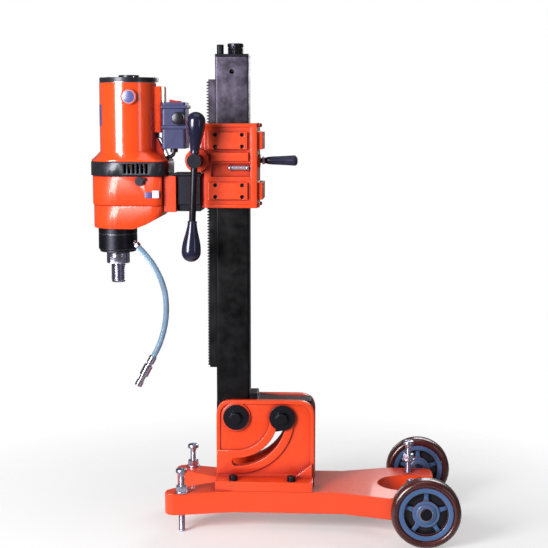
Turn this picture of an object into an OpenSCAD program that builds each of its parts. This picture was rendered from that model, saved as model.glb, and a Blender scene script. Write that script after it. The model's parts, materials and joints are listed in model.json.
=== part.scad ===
// Core drill rig: wheeled base, tilting column with a rack, carriage with a
// feed handle, and an offset-spindle wet drill motor. Millimetres, +Z up.
// X runs from the drill side to the wheel side, -Y is the operator's side.
// The origin is on the floor, under the middle of the whole outline.

/* [Base] */
// Height of the casting's top face above the floor
base_top = 84; // [70:1:110]
// Thickness of the casting
base_t = 46; // [34:1:60]
// Half width of the straight middle of the casting
waist_y = 84; // [72:1:110]
// Half width across the front arms
front_y = 114; // [100:1:150]
// Half width across the rear arms
rear_y = 116; // [100:1:128]
// Distance from the column axis forward to the end of the front arms
front_x = 138; // [120:1:200]
// Distance from the column axis back to the middle of the rear notch
notch_x = 366; // [320:1:420]
// Radius of the rear notch
notch_r = 56; // [40:1:60]
// Wall left around the pockets under the casting
base_wall = 9; // [6:1:14]

/* [Levelling screws] */
// Thread diameter of the levelling screws
level_d = 14; // [10:1:16]
// Whole length of a front levelling screw
level_len = 136; // [125:1:180]
// Whole length of the far rear levelling screw
level_rear_len = 155; // [140:1:190]
// Whole length of the near rear levelling screw
level_low_len = 116; // [112:1:190]
// How far a screw can be wound up
level_up = 40; // [10:1:45]
// How far a screw can be wound down
level_down = 20; // [5:1:25]

/* [Wheels] */
// Outer diameter of the tyres
wheel_d = 142; // [120:1:150]
// Width of the tyres
wheel_w = 40; // [30:1:50]
// Distance from the column axis back to the axle
axle_x = 404; // [380:1:480]
// Distance from the middle plane to the middle of each wheel
wheel_y = 165; // [155:1:200]
// Diameter of the axle
axle_d = 16; // [12:1:18]
// Outer diameter of the wheel centre's rim
rim_d = 112; // [90:1:116]

/* [Tilt bracket] */
// Height of the pivot above the floor
pivot_z = 234; // [228:1:280]
// Distance from the column's axis back to the pivot
pivot_x = 8; // [0:1:12]
// Radius of the arc slot about the pivot
slot_r = 98; // [80:1:105]
// Thickness of each cheek plate
cheek_t = 14; // [10:1:20]
// Height of the raised bands on the cheeks
cheek_rib = 4; // [2:1:6]
// How far the cheeks reach back from the pivot
cheek_back = 166; // [150:1:180]
// How far the cheeks reach forward from the pivot
cheek_front = 42; // [36:1:60]
// Diameter of the pivot bolt and of the lock bolt
tilt_bolt_d = 16; // [12:1:20]
// Diameter of the washers under the two bolt heads
tilt_washer_d = 54; // [40:1:60]
// Largest tilt of the column towards the wheels
tilt_max = 90; // [45:1:90]

/* [Column] */
// Width of the column along X
column_w = 70; // [60:1:80]
// Depth of the column along Y
column_d = 50; // [46:1:60]
// Wall of the column
column_wall = 5; // [3:1:8]
// Height of the column's top above the floor
column_top = 989; // [900:1:1300]
// Height of the pitch line of the rack above the column's face
rack_h = 18; // [15:1:22]
// Width of the rack
rack_w = 20; // [14:1:22]
// Height of the rack's lower end above the floor
rack_low = 333; // [320:1:400]
// Height of the rack's upper end above the floor
rack_high = 953; // [870:1:980]
// Diameter of the jack screw in the column's top
jack_d = 34; // [24:1:40]

/* [Carriage] */
// Height of the carriage's middle above the floor
carriage_z = 765; // [600:1:800]
// Height of the carriage casting
carriage_h = 175; // [150:1:220]
// Wall of the carriage casting
carriage_wall = 15; // [12:1:22]
// Thickness of the slide pads between the carriage and the column
pad_t = 3; // [2:0.5:5]
// How far the carriage can rise
slide_up = 100; // [50:1:120]
// How far the carriage can go down
slide_down = 270; // [150:1:275]

/* [Feed handle] */
// Module of the rack and its pinion
feed_m = 2; // [1.5:0.25:2.5]
// Number of teeth on the pinion
pinion_teeth = 17; // [15:1:20]
// Height of the pinion above the carriage's middle
pinion_up = 12; // [8:1:20]
// Distance from the middle plane to the feed bar
feed_y = 97; // [94:1:110]
// Diameter of the feed bar
feed_d = 14; // [10:1:16]
// Length of each plastic grip
grip_len = 84; // [70:1:110]
// Largest diameter of the grips
grip_d = 40; // [30:1:42]
// Length of bare bar between the two grips
bar_free = 138; // [100:1:180]
// Lean of the feed bar from the vertical
bar_lean = 2.5; // [0:0.5:10]

/* [Lock handle] */
// Length of the lock handle
lock_len = 78; // [60:1:90]
// Largest diameter of the lock handle
lock_d = 22; // [18:1:28]

/* [Motor] */
// Distance from the column axis forward to the motor axis
motor_x = 218.5; // [200:0.5:260]
// Diameter of the motor housing
motor_d = 125; // [110:1:130]
// Height of the motor housing's top above the carriage's middle
motor_top = 172; // [150:1:220]
// Wall of the motor housing
motor_wall = 4; // [3:0.5:6]
// Half depth of the vent band
band_y = 68; // [60:1:70]
// How far the vent band reaches forward of the motor axis
band_fwd = 82.5; // [75:0.5:95]
// How far the vent band reaches back from the motor axis
band_back = 88; // [80:1:90]

/* [Spindle] */
// Distance from the motor axis forward to the spindle axis
spindle_off = 28.4; // [26:0.1:30]
// Thread diameter of the spindle nose, one inch and a quarter
nose_d = 31.75; // [20:0.25:40]
// Length of the spindle nose thread
nose_len = 41; // [30:1:60]
// Diameter of the neck
neck_d = 82; // [70:1:90]
// Diameter of the water way through the spindle
water_d = 10; // [6:1:14]

/* [Water hose] */
// Outer diameter of the water hose
hose_d = 12; // [10:1:14]

/* [Hidden] */
$fn = 48;
eps = 0.01;
run = 0.05;      // radial clearance of a running fit
gap = 0.4;       // air between faces of parts that move past each other

// Outline, from which the origin's place follows
wheel_r = wheel_d / 2;
drill_front = motor_x + band_fwd;
x_mid = (axle_x + wheel_r - drill_front) / 2;

// Heights
base_low = base_top - base_t;
column_half = column_w / 2;
side_half = column_d / 2;
foot_half = side_half + 1.6;
cheek_in = foot_half + gap;
cheek_out = cheek_in + cheek_t;
washer_y = cheek_out + cheek_rib;
column_low = pivot_z + 30;
level_head_h = 9;
level_y = front_y - 14;
level_x = front_x - 36;
level_rear_y = (rear_y + notch_r) / 2;
level_rear_x = axle_x - 25;
washer_r = tilt_washer_d / 2;

// Carriage and feed
inner = column_half + pad_t + gap;
outer = inner + carriage_wall;
inner_y = side_half + pad_t + gap;
outer_y = inner_y + carriage_wall;
carriage_low = carriage_z - carriage_h / 2;
carriage_high = carriage_z + carriage_h / 2;
stub_add = 0.8;          // tooth height above the pitch line, in modules
tooth_ded = 1.25;        // tooth depth below the pitch line, in modules
pitch_x = -(column_half + rack_h);
pinion_r = feed_m * pinion_teeth / 2;
pinion_tip = pinion_r + stub_add * feed_m;
pinion_x = pitch_x - pinion_r;
pinion_z = carriage_z + pinion_up;
pinion_w = rack_w + 2;
pinion_cav = pinion_tip + 1.2;
boss_r = pinion_cav + 4.5;
shaft_r = 9;
bush_r = 13;
bush_len = 26;
slot_half = rack_w / 2 + 2.5;
slot_x = pitch_x - stub_add * feed_m - 1.5;
spine_x = slot_x - 9;
spine_y = 30;
boss_y = outer_y + 20;
hub_r = 14.5;
hub_len = 25;
hub_top = hub_r + 1;
bar_up = hub_top + grip_len;
bar_down = bar_free - hub_top + grip_len;
bar_travel = bar_free - 2 * hub_top;

// Drill heights, counted from the carriage's middle
cap_z = carriage_z + motor_top;
band_top = carriage_z + 8;
band_low = carriage_z - 21;
case_low = carriage_z - 82;
nose_low = carriage_z - 131;
neck_low = carriage_z - 183;
collar_low = carriage_z - 208;
spindle_low = collar_low - nose_len;
spindle_x = -motor_x - spindle_off;
motor_r = motor_d / 2;
case_y = band_y - 3;
case_wall = 7;
neck_r = neck_d / 2;

// Gear train: armature to layshaft, layshaft to spindle
fast_m = 1.25;
slow_m = 1.5;
arm_teeth = 12;
lay_big = 36;
lay_small = 16;
spindle_teeth = 40;
arm_lay = fast_m * (arm_teeth + lay_big) / 2;
lay_spin = slow_m * (lay_small + spindle_teeth) / 2;
lay_dx = (pow(lay_spin, 2) - pow(arm_lay, 2) + pow(spindle_off, 2)) / (2 * spindle_off);
lay_x = spindle_x + lay_dx;
lay_y = sqrt(pow(lay_spin, 2) - pow(lay_dx, 2));
fast_z = carriage_z - 51;
fast_w = 14;
slow_z = carriage_z - 75;
slow_w = 18;
gearbox_floor = case_low - 16;
deck_t = 9;
deck_low = band_low - deck_t;
arm_bearing_r = 14;
spindle_bearing_r = 13;
lay_bearing_r = 9.5;

// Water hose: points of its centre line from the inlet down to its coupler, (x, y, z)
// measured from the column axis and the carriage's middle
hose_pts = [[-201, -16, -172], [-192, -17, -181], [-183, -18, -191], [-174, -20, -202],
    [-166, -21, -214], [-159, -22, -226], [-153, -23, -239], [-148, -24, -253], [-144, -25, -267],
    [-142, -26, -281], [-141, -27, -295], [-141, -28, -309], [-142, -28, -323], [-144, -29, -337],
    [-147, -29, -351], [-151, -30, -365], [-156, -30, -379], [-162, -30, -392], [-169, -30, -405]];
coupler_dir = hose_pts[18] - hose_pts[17];
inlet_dir = hose_pts[1] - hose_pts[0];

// ---------- Shared shapes ----------
module zcyl(r, z0, z1, x = 0, y = 0) {
    translate([x, y, z0]) cylinder(r = r, h = z1 - z0);
}
module ycyl(r, y0, y1, x = 0, z = 0) {
    translate([x, y0, z]) rotate([-90, 0, 0]) cylinder(r = r, h = y1 - y0);
}
module xcyl(r, x0, x1, y = 0, z = 0) {
    translate([x0, y, z]) rotate([0, 90, 0]) cylinder(r = r, h = x1 - x0);
}
module block(x0, x1, y0, y1, z0, z1) {
    translate([x0, y0, z0]) cube([x1 - x0, y1 - y0, z1 - z0]);
}
module slab(x0, x1, half_y, z0, z1) {
    block(x0, x1, -half_y, half_y, z0, z1);
}
module hexagon(across, h) {
    cylinder(r = across / sqrt(3), h = h, $fn = 6);
}
module both_sides() {
    children();
    mirror([0, 1, 0]) children();
}
module rounded_rect(x0, x1, y0, y1, r) {
    translate([x0 + r, y0]) square([x1 - x0 - 2 * r, y1 - y0]);
    translate([x0, y0 + r]) square([x1 - x0, y1 - y0 - 2 * r]);
    for (x = [x0 + r, x1 - r]) for (y = [y0 + r, y1 - r]) translate([x, y]) circle(r);
}
// A tube along the local Z axis, aimed from point a in direction d
module aimed(a, d) {
    bearing = atan2(d[1], d[0]);
    drop = acos(d[2] / norm(d));
    translate(a) rotate([0, drop, bearing]) children();
}
// Placed in the frame of the column axis, which stands x_mid in front of the origin
module placed() {
    translate([-x_mid, 0, 0]) children();
}

// Involute gear outline
function involute(rb, t) = [rb * (cos(t) + t * PI / 180 * sin(t)), rb * (sin(t) - t * PI / 180 * cos(t))];
function inv_angle(rb, r) = sqrt(max(pow(r / rb, 2) - 1, 0)) * 180 / PI;
function turned(p, a) = [p[0] * cos(a) - p[1] * sin(a), p[0] * sin(a) + p[1] * cos(a)];
function gear_points(m, n, slack) = let (
        rp = m * n / 2,
        rb = rp * cos(20),
        rr = rp - tooth_ded * m,
        rt = rp + stub_add * m,
        r0 = max(rb, rr),
        tp = inv_angle(rb, rp),
        pitch_pt = involute(rb, tp),
        half = 90 / n - slack / rp * 90 / PI + atan2(pitch_pt[1], pitch_pt[0]),
        radii = [r0, (r0 + rt) / 2, rt],
        flank = [for (r = radii) turned(involute(rb, inv_angle(rb, r)), -half)],
        low = flank[0] / norm(flank[0]) * rr,
        side = concat([low], flank)
    ) [for (k = [0:n - 1]) for (p = concat(side, [for (i = [3:-1:0]) [side[i][0], -side[i][1]]]))
        turned(p, k * 360 / n)];
module gear(m, n, h, slack = 0.3) {
    linear_extrude(h) polygon(gear_points(m, n, slack));
}

// ---------- Base ----------
module base_half_outline() {
    // One side of the casting, from the middle plane outwards
    polygon([[-12, 0], [-front_x + 14, front_y - 46], [-front_x + 2, front_y - 32], [-front_x, front_y - 16],
        [-front_x + 8, front_y - 4], [-front_x + 24, front_y], [10, waist_y], [232, waist_y],
        [328, rear_y], [axle_x + 14, rear_y], [axle_x + 24, rear_y - 8], [axle_x + 28, rear_y - 20],
        [axle_x + 28, 0]]);
}
module pocket(x0, x1, y0, y1) {
    translate([0, 0, base_low - eps]) linear_extrude(base_t - base_wall) rounded_rect(x0, x1, y0, y1, 8);
}
module base_casting() color("orangered") placed() difference() {
    translate([0, 0, base_low]) linear_extrude(base_t) union() {
        base_half_outline();
        mirror([0, 1]) base_half_outline();
    }
    zcyl(notch_r, base_low - 1, base_top + 1, notch_x);
    slab(notch_x, axle_x + 60, notch_r, base_low - 1, base_top + 1);
    for (y = [-1, 1]) {
        zcyl(level_d / 2 + run, base_low - 1, base_top + 1, -level_x, y * level_y);
        zcyl(level_d / 2 + run, base_low - 1, base_top + 1, level_rear_x, y * level_rear_y);
        for (x = cheek_screw_x) zcyl(5.1, base_top - 26, base_top + 1, x, y * cheek_screw_y);
    }
    both_sides() ycyl(axle_d / 2, notch_r - 2, rear_y + 1, axle_x, wheel_r);
    // Recess that the column's foot swings through
    block(pivot_x - 30, pivot_x + foot_swing, -cheek_in, cheek_in, base_top - foot_drop, base_top + 1);
    for (y0 = [-waist_y + base_wall, base_wall / 2]) {
        y1 = y0 + waist_y - 1.5 * base_wall;
        pocket(pivot_x + foot_swing + base_wall, 110, y0, y1);
        pocket(150, 218, y0, y1);
        pocket(228, 296, y0, y1);
    }
}
cheek_screw_x = [4, 127];
cheek_screw_y = waist_y - 13;
foot_reach = cheek_back - 4;
foot_drop = max(foot_reach + 3 - (pivot_z - base_top), 1);
foot_swing = sqrt(max(pow(foot_reach + 3, 2) - pow(pivot_z - base_top, 2), 400));

module level_screw(x, y, length) color("silver") placed() translate([x, y, 0]) difference() {
    union() {
        zcyl(level_d / 2, 2, length - level_head_h);
        cylinder(r1 = level_d / 2 - 2, r2 = level_d / 2, h = 2 + eps);
        zcyl(12, length - level_head_h, length - 3);
        translate([0, 0, length - 3]) cylinder(r1 = 12, r2 = 8.5, h = 3);
        // The long rear screw carries its nut half way up
        if (x > 0 && length > base_top + 60) translate([0, 0, base_top + level_down + 6]) level_nut_shape();
    }
    translate([0, 0, length - 5]) hexagon(9, 6);
}
module level_nut_shape() {
    cylinder(r = 14, h = 4);
    translate([0, 0, 4 - eps]) hexagon(22, 11);
}
module level_screw_front_near() level_screw(-level_x, -level_y, level_len);
module level_screw_front_far() level_screw(-level_x, level_y, level_len);
module level_screw_rear_near() level_screw(level_rear_x, -level_rear_y, level_low_len);
module level_screw_rear_far() level_screw(level_rear_x, level_rear_y, level_rear_len);
module level_nuts() color("silver") placed() for (y = [-1, 1]) difference() {
    translate([-level_x, y * level_y, base_top]) level_nut_shape();
    zcyl(level_d / 2 + run, base_top - 1, base_top + 20, -level_x, y * level_y);
}

// ---------- Wheels ----------
bush_half = wheel_w / 2 - 5;
bush_in = wheel_y - bush_half - gap;
cap_in = wheel_y + bush_half + gap;
axle_end = cap_in + 3.6;
module axle_ring(y0, y1, wall) {
    // A collar on the axle, from y0 to y1
    difference() {
        ycyl(axle_d / 2 + wall, y0, y1, axle_x, wheel_r);
        ycyl(axle_d / 2 - eps, y0 - 1, y1 + 1, axle_x, wheel_r);
    }
}
module wheel_axle() color("dimgray") placed() both_sides() {
    ycyl(axle_d / 2, notch_r - 1, axle_end, axle_x, wheel_r);
    // Shoulder collar inside the wheel and retaining cap outside it
    axle_ring(rear_y, bush_in, 5);
    axle_ring(cap_in, axle_end, 4);
}
module at_wheel(side) {
    placed() translate([axle_x, side * wheel_y, wheel_r]) rotate([90, 0, 0]) children();
}
rim_r = rim_d / 2;
module tyre_shape() {
    half = wheel_w / 2;
    rotate_extrude($fn = 96) polygon([[rim_r, -half + 5], [rim_r + 4, -half + 1], [wheel_r - 5, -half + 2],
        [wheel_r - 1.5, -half + 6], [wheel_r, -half + 12], [wheel_r, half - 12], [wheel_r - 1.5, half - 6],
        [wheel_r - 5, half - 2], [rim_r + 4, half - 1], [rim_r, half - 5]]);
}
hub_hole = 14;
module hub_shape() {
    difference() {
        union() {
            rotate_extrude($fn = 96) polygon([[rim_r - 11, -15], [rim_r, -15], [rim_r, 15], [rim_r - 11, 15],
                [rim_r - 7, 6], [rim_r - 7, -6]]);
            zcyl(27.5, -12, 12);
            zcyl(20, -bush_half, bush_half);
            for (k = [0:4]) rotate([0, 0, k * 72]) block(20, rim_r - 6, -5, 5, -9, 9);
            zcyl(rim_r - 5, -2, 2);
        }
        zcyl(hub_hole, -bush_half - 1, bush_half + 1);
    }
}
module hub_bushes() {
    for (side = [-1, 1]) difference() {
        zcyl(hub_hole, side > 0 ? 2 : -bush_half, side > 0 ? bush_half : -2);
        zcyl(axle_d / 2 + run, -bush_half - 1, bush_half + 1);
    }
}
module near_tyre() color("maroon") at_wheel(-1) tyre_shape();
module far_tyre() color("maroon") at_wheel(1) tyre_shape();
module near_hub() color("steelblue") at_wheel(-1) hub_shape();
module far_hub() color("steelblue") at_wheel(1) hub_shape();
module near_bushes() color("silver") at_wheel(-1) hub_bushes();
module far_bushes() color("silver") at_wheel(1) hub_bushes();

// ---------- Tilt bracket ----------
cheek_top = pivot_z + 36;
corner_r = 30;
slot_w = tilt_bolt_d / 2 + 0.8;
foot_top = base_top + 20;
band_half = slot_w + 17;
flange_y = waist_y - 1;
module cheek_outline() {
    // Seen from the operator's side: u is along X from the pivot, v is height above the pivot
    low = base_top - pivot_z;
    high = cheek_top - pivot_z;
    translate([-cheek_front, low]) square([cheek_front + cheek_back, high - corner_r - low]);
    translate([-cheek_front + corner_r, low]) square([cheek_front + cheek_back - 2 * corner_r, high - low]);
    translate([-cheek_front + corner_r, high - corner_r]) circle(corner_r);
    translate([cheek_back - corner_r, high - corner_r]) circle(corner_r);
}
module arc_band(r, half, a0, a1) {
    // A band of even width along an arc about the origin, with round ends
    steps = 30;
    polygon(concat(
        [for (k = [0:steps]) let (a = a0 + (a1 - a0) * k / steps) (r + half) * [cos(a), sin(a)]],
        [for (b = [20:20:160]) r * [cos(a1), sin(a1)] + half * [cos(a1 + b), sin(a1 + b)]],
        [for (k = [steps:-1:0]) let (a = a0 + (a1 - a0) * k / steps) (r - half) * [cos(a), sin(a)]],
        [for (b = [20:20:160]) r * [cos(a0), sin(a0)] + half * [cos(a0 + 180 + b), sin(a0 + 180 + b)]]));
}
module cheek() {
    // The near cheek; the far one is its mirror image
    difference() {
        union() {
            translate([pivot_x, -cheek_in, pivot_z]) rotate([90, 0, 0])
                linear_extrude(cheek_t) cheek_outline();
            translate([pivot_x, -cheek_in - 1, pivot_z]) rotate([90, 0, 0])
                linear_extrude(cheek_t + cheek_rib - 1) {
                    circle(washer_r + 4);
                    arc_band(slot_r, band_half, -90, 0);
                    translate([-cheek_front, -slot_r - band_half]) square([cheek_front, 2 * band_half]);
                }
            translate([pivot_x - cheek_front, 0, base_top]) rotate([90, 0, 90])
                linear_extrude(cheek_front + cheek_back - 2)
                    polygon([[-cheek_out + 1, 0], [-flange_y, 0], [-flange_y, foot_top - base_top],
                        [-cheek_out + 1, foot_top - base_top + 3]]);
        }
        ycyl(tilt_bolt_d / 2, -cheek_out - 60, 0, pivot_x, pivot_z);
        translate([pivot_x, 0, pivot_z]) rotate([90, 0, 0]) linear_extrude(cheek_out + 60)
            arc_band(slot_r, slot_w, -tilt_max, 0);
        for (x = cheek_screw_x) {
            zcyl(5.6, base_top - 1, base_top + 60, x, -cheek_screw_y);
            zcyl(11, foot_top, base_top + 60, x, -cheek_screw_y);
        }
    }
}
module near_cheek() color("orangered") placed() cheek();
module far_cheek() color("orangered") placed() mirror([0, 1, 0]) cheek();
module cheek_screws() color("black") placed() both_sides() for (x = cheek_screw_x)
    translate([x, -cheek_screw_y, 0]) difference() {
        union() {
            zcyl(5, base_top - 24, foot_top + 1);
            zcyl(9, foot_top, foot_top + 11);
        }
        translate([0, 0, foot_top + 6]) hexagon(8, 6);
    }
module tilt_bolt_set(x, lift) {
    // Bolt with a big washer and hexagon head on the near side and a nut on the far side
    face = washer_y + lift;
    translate([x, 0, pivot_z]) {
        ycyl(tilt_bolt_d / 2, -face - 5, face + 22);
        for (y = [-face - 5, face]) difference() {
            ycyl(washer_r, y, y + 5);
            ycyl(tilt_bolt_d / 2 - eps, y - 1, y + 6);
        }
        translate([0, -face - 5 + eps, 0]) rotate([90, 0, 0]) intersection() {
            hexagon(24, 10);
            cylinder(r1 = 14.5, r2 = 11, h = 10.2);
        }
        translate([0, face + 18, 0]) rotate([90, 0, 0]) difference() {
            hexagon(24, 13);
            translate([0, 0, -1]) cylinder(r = tilt_bolt_d / 2 - eps, h = 15);
        }
    }
}
module pivot_bolt() color("#222222") placed() tilt_bolt_set(pivot_x, 0);
module lock_bolt() color("#222222") placed() tilt_bolt_set(pivot_x + slot_r, gap);

// ---------- Column ----------
// Half sizes of the plugs that fit inside the tube's two ends
plug_x = column_half - column_wall - 0.1;
plug_y = side_half - column_wall - 0.1;
module column_foot() color("#1c1c1c") placed() difference() {
    union() {
        translate([pivot_x, side_half, pivot_z]) rotate([90, 0, 0]) linear_extrude(column_d) intersection() {
            circle(foot_reach, $fn = 96);
            translate([-pivot_x, 0]) polygon([[-column_half, -40], [-column_half, 30], [column_half, 30],
                [column_half, 48], [52, 48], [52, 35], [168, 33], [174, 20], [174, -20],
                [130, -30], [40, -44]]);
        }
        for (x = [0, slot_r]) ycyl(20, -foot_half, foot_half, pivot_x + x, pivot_z);
        slab(-plug_x, plug_x, plug_y, column_low - eps, column_low + 60);
    }
    ycyl(tilt_bolt_d / 2 + run, -foot_half - 1, foot_half + 1, pivot_x, pivot_z);
    ycyl(tilt_bolt_d / 2, -foot_half - 1, foot_half + 1, pivot_x + slot_r, pivot_z);
}
module column_tube() color("#3a3640") placed() difference() {
    slab(-column_half, column_half, side_half, column_low, column_top);
    slab(-column_half + column_wall, column_half - column_wall, side_half - column_wall,
        column_low - 1, column_top + 1);
    ycyl(5, -side_half - 1, -side_half + column_wall + 1, 0, column_top - 30);
}
rack_teeth = floor((rack_high - rack_low) / (PI * feed_m));
// Height of a tooth gap's middle that a pinion tooth fills
mesh_z = pinion_z;
rack_first = ceil((rack_low - mesh_z) / (PI * feed_m) + 0.5);
module rack() color("#4a4750") placed() {
    pitch = PI * feed_m;
    tip = stub_add * feed_m;
    ded = tooth_ded * feed_m;
    half_tip = pitch / 4 - tip * tan(20) - 0.15;
    half_root = pitch / 4 + ded * tan(20) - 0.15;
    // Teeth stand half a pitch away from the height where the pinion has a tooth
    teeth = [for (k = [rack_first:rack_first + rack_teeth - 3]) mesh_z + (k + 0.5) * pitch];
    low = teeth[0] - pitch;
    high = teeth[len(teeth) - 1] + pitch;
    translate([0, rack_w / 2, 0]) rotate([90, 0, 0]) linear_extrude(rack_w) polygon(concat(
        [[-column_half, low], [-column_half, high], [pitch_x + ded, high]],
        [for (i = [len(teeth) - 1:-1:0]) for (p = [[ded, half_root], [-tip, half_tip],
            [-tip, -half_tip], [ded, -half_root]]) [pitch_x + p[0], teeth[i] + p[1]]],
        [[pitch_x + ded, low]]));
}
cap_t = 6;
jack_x = 6;
brace_x = -26;
module column_cap() color("#26232a") placed() difference() {
    union() {
        slab(-column_half, column_half, side_half, column_top, column_top + cap_t);
        slab(-plug_x, plug_x, plug_y, column_top - 30, column_top + eps);
    }
    zcyl(jack_d / 2 + run, column_top - 40, column_top + cap_t + 1, jack_x);
    zcyl(4, column_top - 10, column_top + cap_t + 1, brace_x);
}
module jack_screw() color("#2c2a30") placed() difference() {
    zcyl(jack_d / 2, column_top - 110, column_top + 28, jack_x);
    translate([jack_x, 0, column_top + 19]) hexagon(14, 12);
}
module brace_bolt() color("#2c2a30") placed() {
    zcyl(4, column_top - 9, column_top + cap_t + eps, brace_x);
    translate([brace_x, 0, column_top + cap_t]) hexagon(13, 20);
}

// ---------- Carriage ----------
pad_z = [carriage_z - 52, carriage_z + 52];
pad_h = 36;
screw_rows = [-64, -40, 40, 64];
screw_cols = [-33, 23];
pad_y = side_half - 7;
module carriage() color("orangered") placed() difference() {
    union() {
        slab(-outer - 3, outer, outer_y, carriage_low, carriage_high);
        slab(spine_x, -outer, spine_y, carriage_low, carriage_high);
        // Raised screw pads on the front, back and wheel sides
        for (z = pad_z) {
            slab(-48, 34, outer_y + 5, z - pad_h / 2, z + pad_h / 2);
            slab(outer - 4, outer + 11, outer_y - 5, z - pad_h / 2, z + pad_h / 2);
        }
        block(-42, 36, -outer_y - 5, -outer_y + 4, carriage_z + 10, carriage_z + 28);
        // Corner lugs
        for (z = [carriage_low + 5, carriage_high - 4]) for (y = [-1, 1])
            xcyl(4, outer - 4, outer + 5, y * (outer_y - 8), z);
        // Pinion housing
        ycyl(boss_r, -boss_y, boss_y, pinion_x, pinion_z);
        // Lock stud boss
        xcyl(15, outer - 4, outer + 4, 0, pinion_z - 2);
    }
    slab(-inner, inner, inner_y, carriage_low - 1, carriage_high + 1);
    slab(slot_x, 0, slot_half, carriage_low - 1, carriage_high + 1);
    ycyl(pinion_cav, -pinion_w / 2 - 1, pinion_w / 2 + 1, pinion_x, pinion_z);
    ycyl(bush_r, -boss_y - 1, boss_y + 1, pinion_x, pinion_z);
    // Recess of the vial, in the front wall
    block(-42, 40, -outer_y - 1, -outer_y + 6, carriage_z - 22, carriage_z + 5);
    xcyl(6, inner - 1, outer + 6, 0, pinion_z - 2);
    xcyl(9, inner - 1, inner + 6, 0, pinion_z - 2);
    for (z = screw_rows) {
        for (x = screw_cols) both_sides() ycyl(4, inner_y - 1, outer_y + 6, x, carriage_z + z);
        both_sides() xcyl(4, inner - 1, outer + 12, pad_y, carriage_z + z);
    }
    for (z = mount_bolt_z) for (y = [-21, 21]) xcyl(5, spine_x - 1, -inner - 4, y, z);
}
mount_bolt_z = [carriage_z - 78, carriage_z - 38];
pad_run = 0.3;
module slide_pads() color("#c8a050") placed() for (z = pad_z) {
    for (x = screw_cols) both_sides()
        block(max(x - 12, -inner), x + 12, -inner_y, -side_half - pad_run, z - pad_h / 2, z + pad_h / 2);
    both_sides() {
        block(column_half + pad_run, inner, pad_y - 9, pad_y + 9, z - pad_h / 2, z + pad_h / 2);
        block(-inner, -column_half - pad_run, slot_half, inner_y - 5, z - pad_h / 2, z + pad_h / 2);
    }
}
module pad_screw() {
    // A set screw along +Z with a socket, its head end at z = 0
    difference() {
        translate([0, 0, -carriage_wall - 1]) cylinder(r = 4, h = carriage_wall + 1);
        translate([0, 0, -5]) hexagon(4, 6);
    }
}
module pad_screws() color("#202020") placed() for (z = screw_rows) {
    for (x = screw_cols) both_sides()
        translate([x, -outer_y - 1, carriage_z + z]) rotate([90, 0, 0]) pad_screw();
    both_sides() translate([outer + 1, pad_y, carriage_z + z]) rotate([0, 90, 0]) pad_screw();
}
hub_y0 = -feed_y - hub_len / 2;
hub_y1 = -feed_y + hub_len / 2;
module pinion_shaft() color("#33313a") placed() translate([pinion_x, 0, pinion_z]) difference() {
    union() {
        translate([0, pinion_w / 2, 0]) rotate([90, 0, 0]) gear(feed_m, pinion_teeth, pinion_w);
        ycyl(shaft_r, hub_y0 + 5, boss_y + 1);
        ycyl(11, pinion_w / 2 - eps, pinion_w / 2 + 1.5);
        ycyl(11, -pinion_w / 2 - 1.5, -pinion_w / 2 + eps);
        ycyl(hub_r, hub_y0, hub_y1);
        ycyl(bush_r, -boss_y - 6, -boss_y - gap);
    }
    rotate([0, bar_lean, 0]) zcyl(feed_d / 2 + run, -40, 40, 0, -feed_y);
}
module pinion_bushes() color("#b08d57") placed() for (y = [-1, 1]) difference() {
    ycyl(bush_r, y > 0 ? boss_y - bush_len : -boss_y, y > 0 ? boss_y : bush_len - boss_y,
        pinion_x, pinion_z);
    ycyl(shaft_r + run, -boss_y - 1, boss_y + 1, pinion_x, pinion_z);
}
module at_feed() {
    placed() translate([pinion_x, -feed_y, pinion_z]) rotate([0, bar_lean, 0]) children();
}
module feed_bar() color("#33313a") at_feed() zcyl(feed_d / 2, -bar_down + 20, bar_up - 20);
module grip_shape() {
    // A pear-shaped grip from its thin end at z = 0 to its round end
    r = grip_d / 2;
    difference() {
        rotate_extrude() polygon(concat([[0, 0], [9, 0], [9.5, 3]],
            [for (k = [1:6]) [9.5 + (r - 9.5) * pow(sin(k * 15), 1.6), 3 + (grip_len - r - 3) * k / 6]],
            [for (a = [15:15:90]) [r * cos(a), grip_len - r + r * sin(a)]]));
        zcyl(feed_d / 2, -1, grip_len - 20);
    }
}
module feed_grips() color("#1b1c28") at_feed() {
    translate([0, 0, hub_top]) grip_shape();
    translate([0, 0, hub_top - bar_free]) rotate([180, 0, 0]) grip_shape();
}
lock_z = pinion_z - 2;
lock_x = outer + 4 + gap;
module lock_handle() color("#1b1c28") placed() translate([0, 0, lock_z]) {
    xcyl(6 - run, inner + 2, lock_x + eps);
    translate([lock_x, 0, 0]) rotate([0, 90, 0]) rotate_extrude()
        polygon([[0, 0], [5.5, 0], [5.5, 4], [8, 4], [8, 9], [6, 10], [7.5, 24], [8.5, 44],
            [10, lock_len - 16], [lock_d / 2, lock_len - 9], [lock_d / 2 - 1.5, lock_len - 3],
            [6, lock_len], [0, lock_len]]);
}
module lock_shoe() color("#b08d57") placed() difference() {
    xcyl(9 - run, column_half + pad_run, inner + 5, 0, lock_z);
    xcyl(6, inner + 2 - gap, inner + 6, 0, lock_z);
}
module spirit_vial() color("#d8dce0") placed()
    translate([16, -outer_y + 1, carriage_z - 4]) rotate([0, 90, 0]) {
        cylinder(r = 4, h = 40, center = true);
        for (z = [-21, 15]) translate([0, 0, z]) cylinder(r = 5, h = 6);
    }

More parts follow.
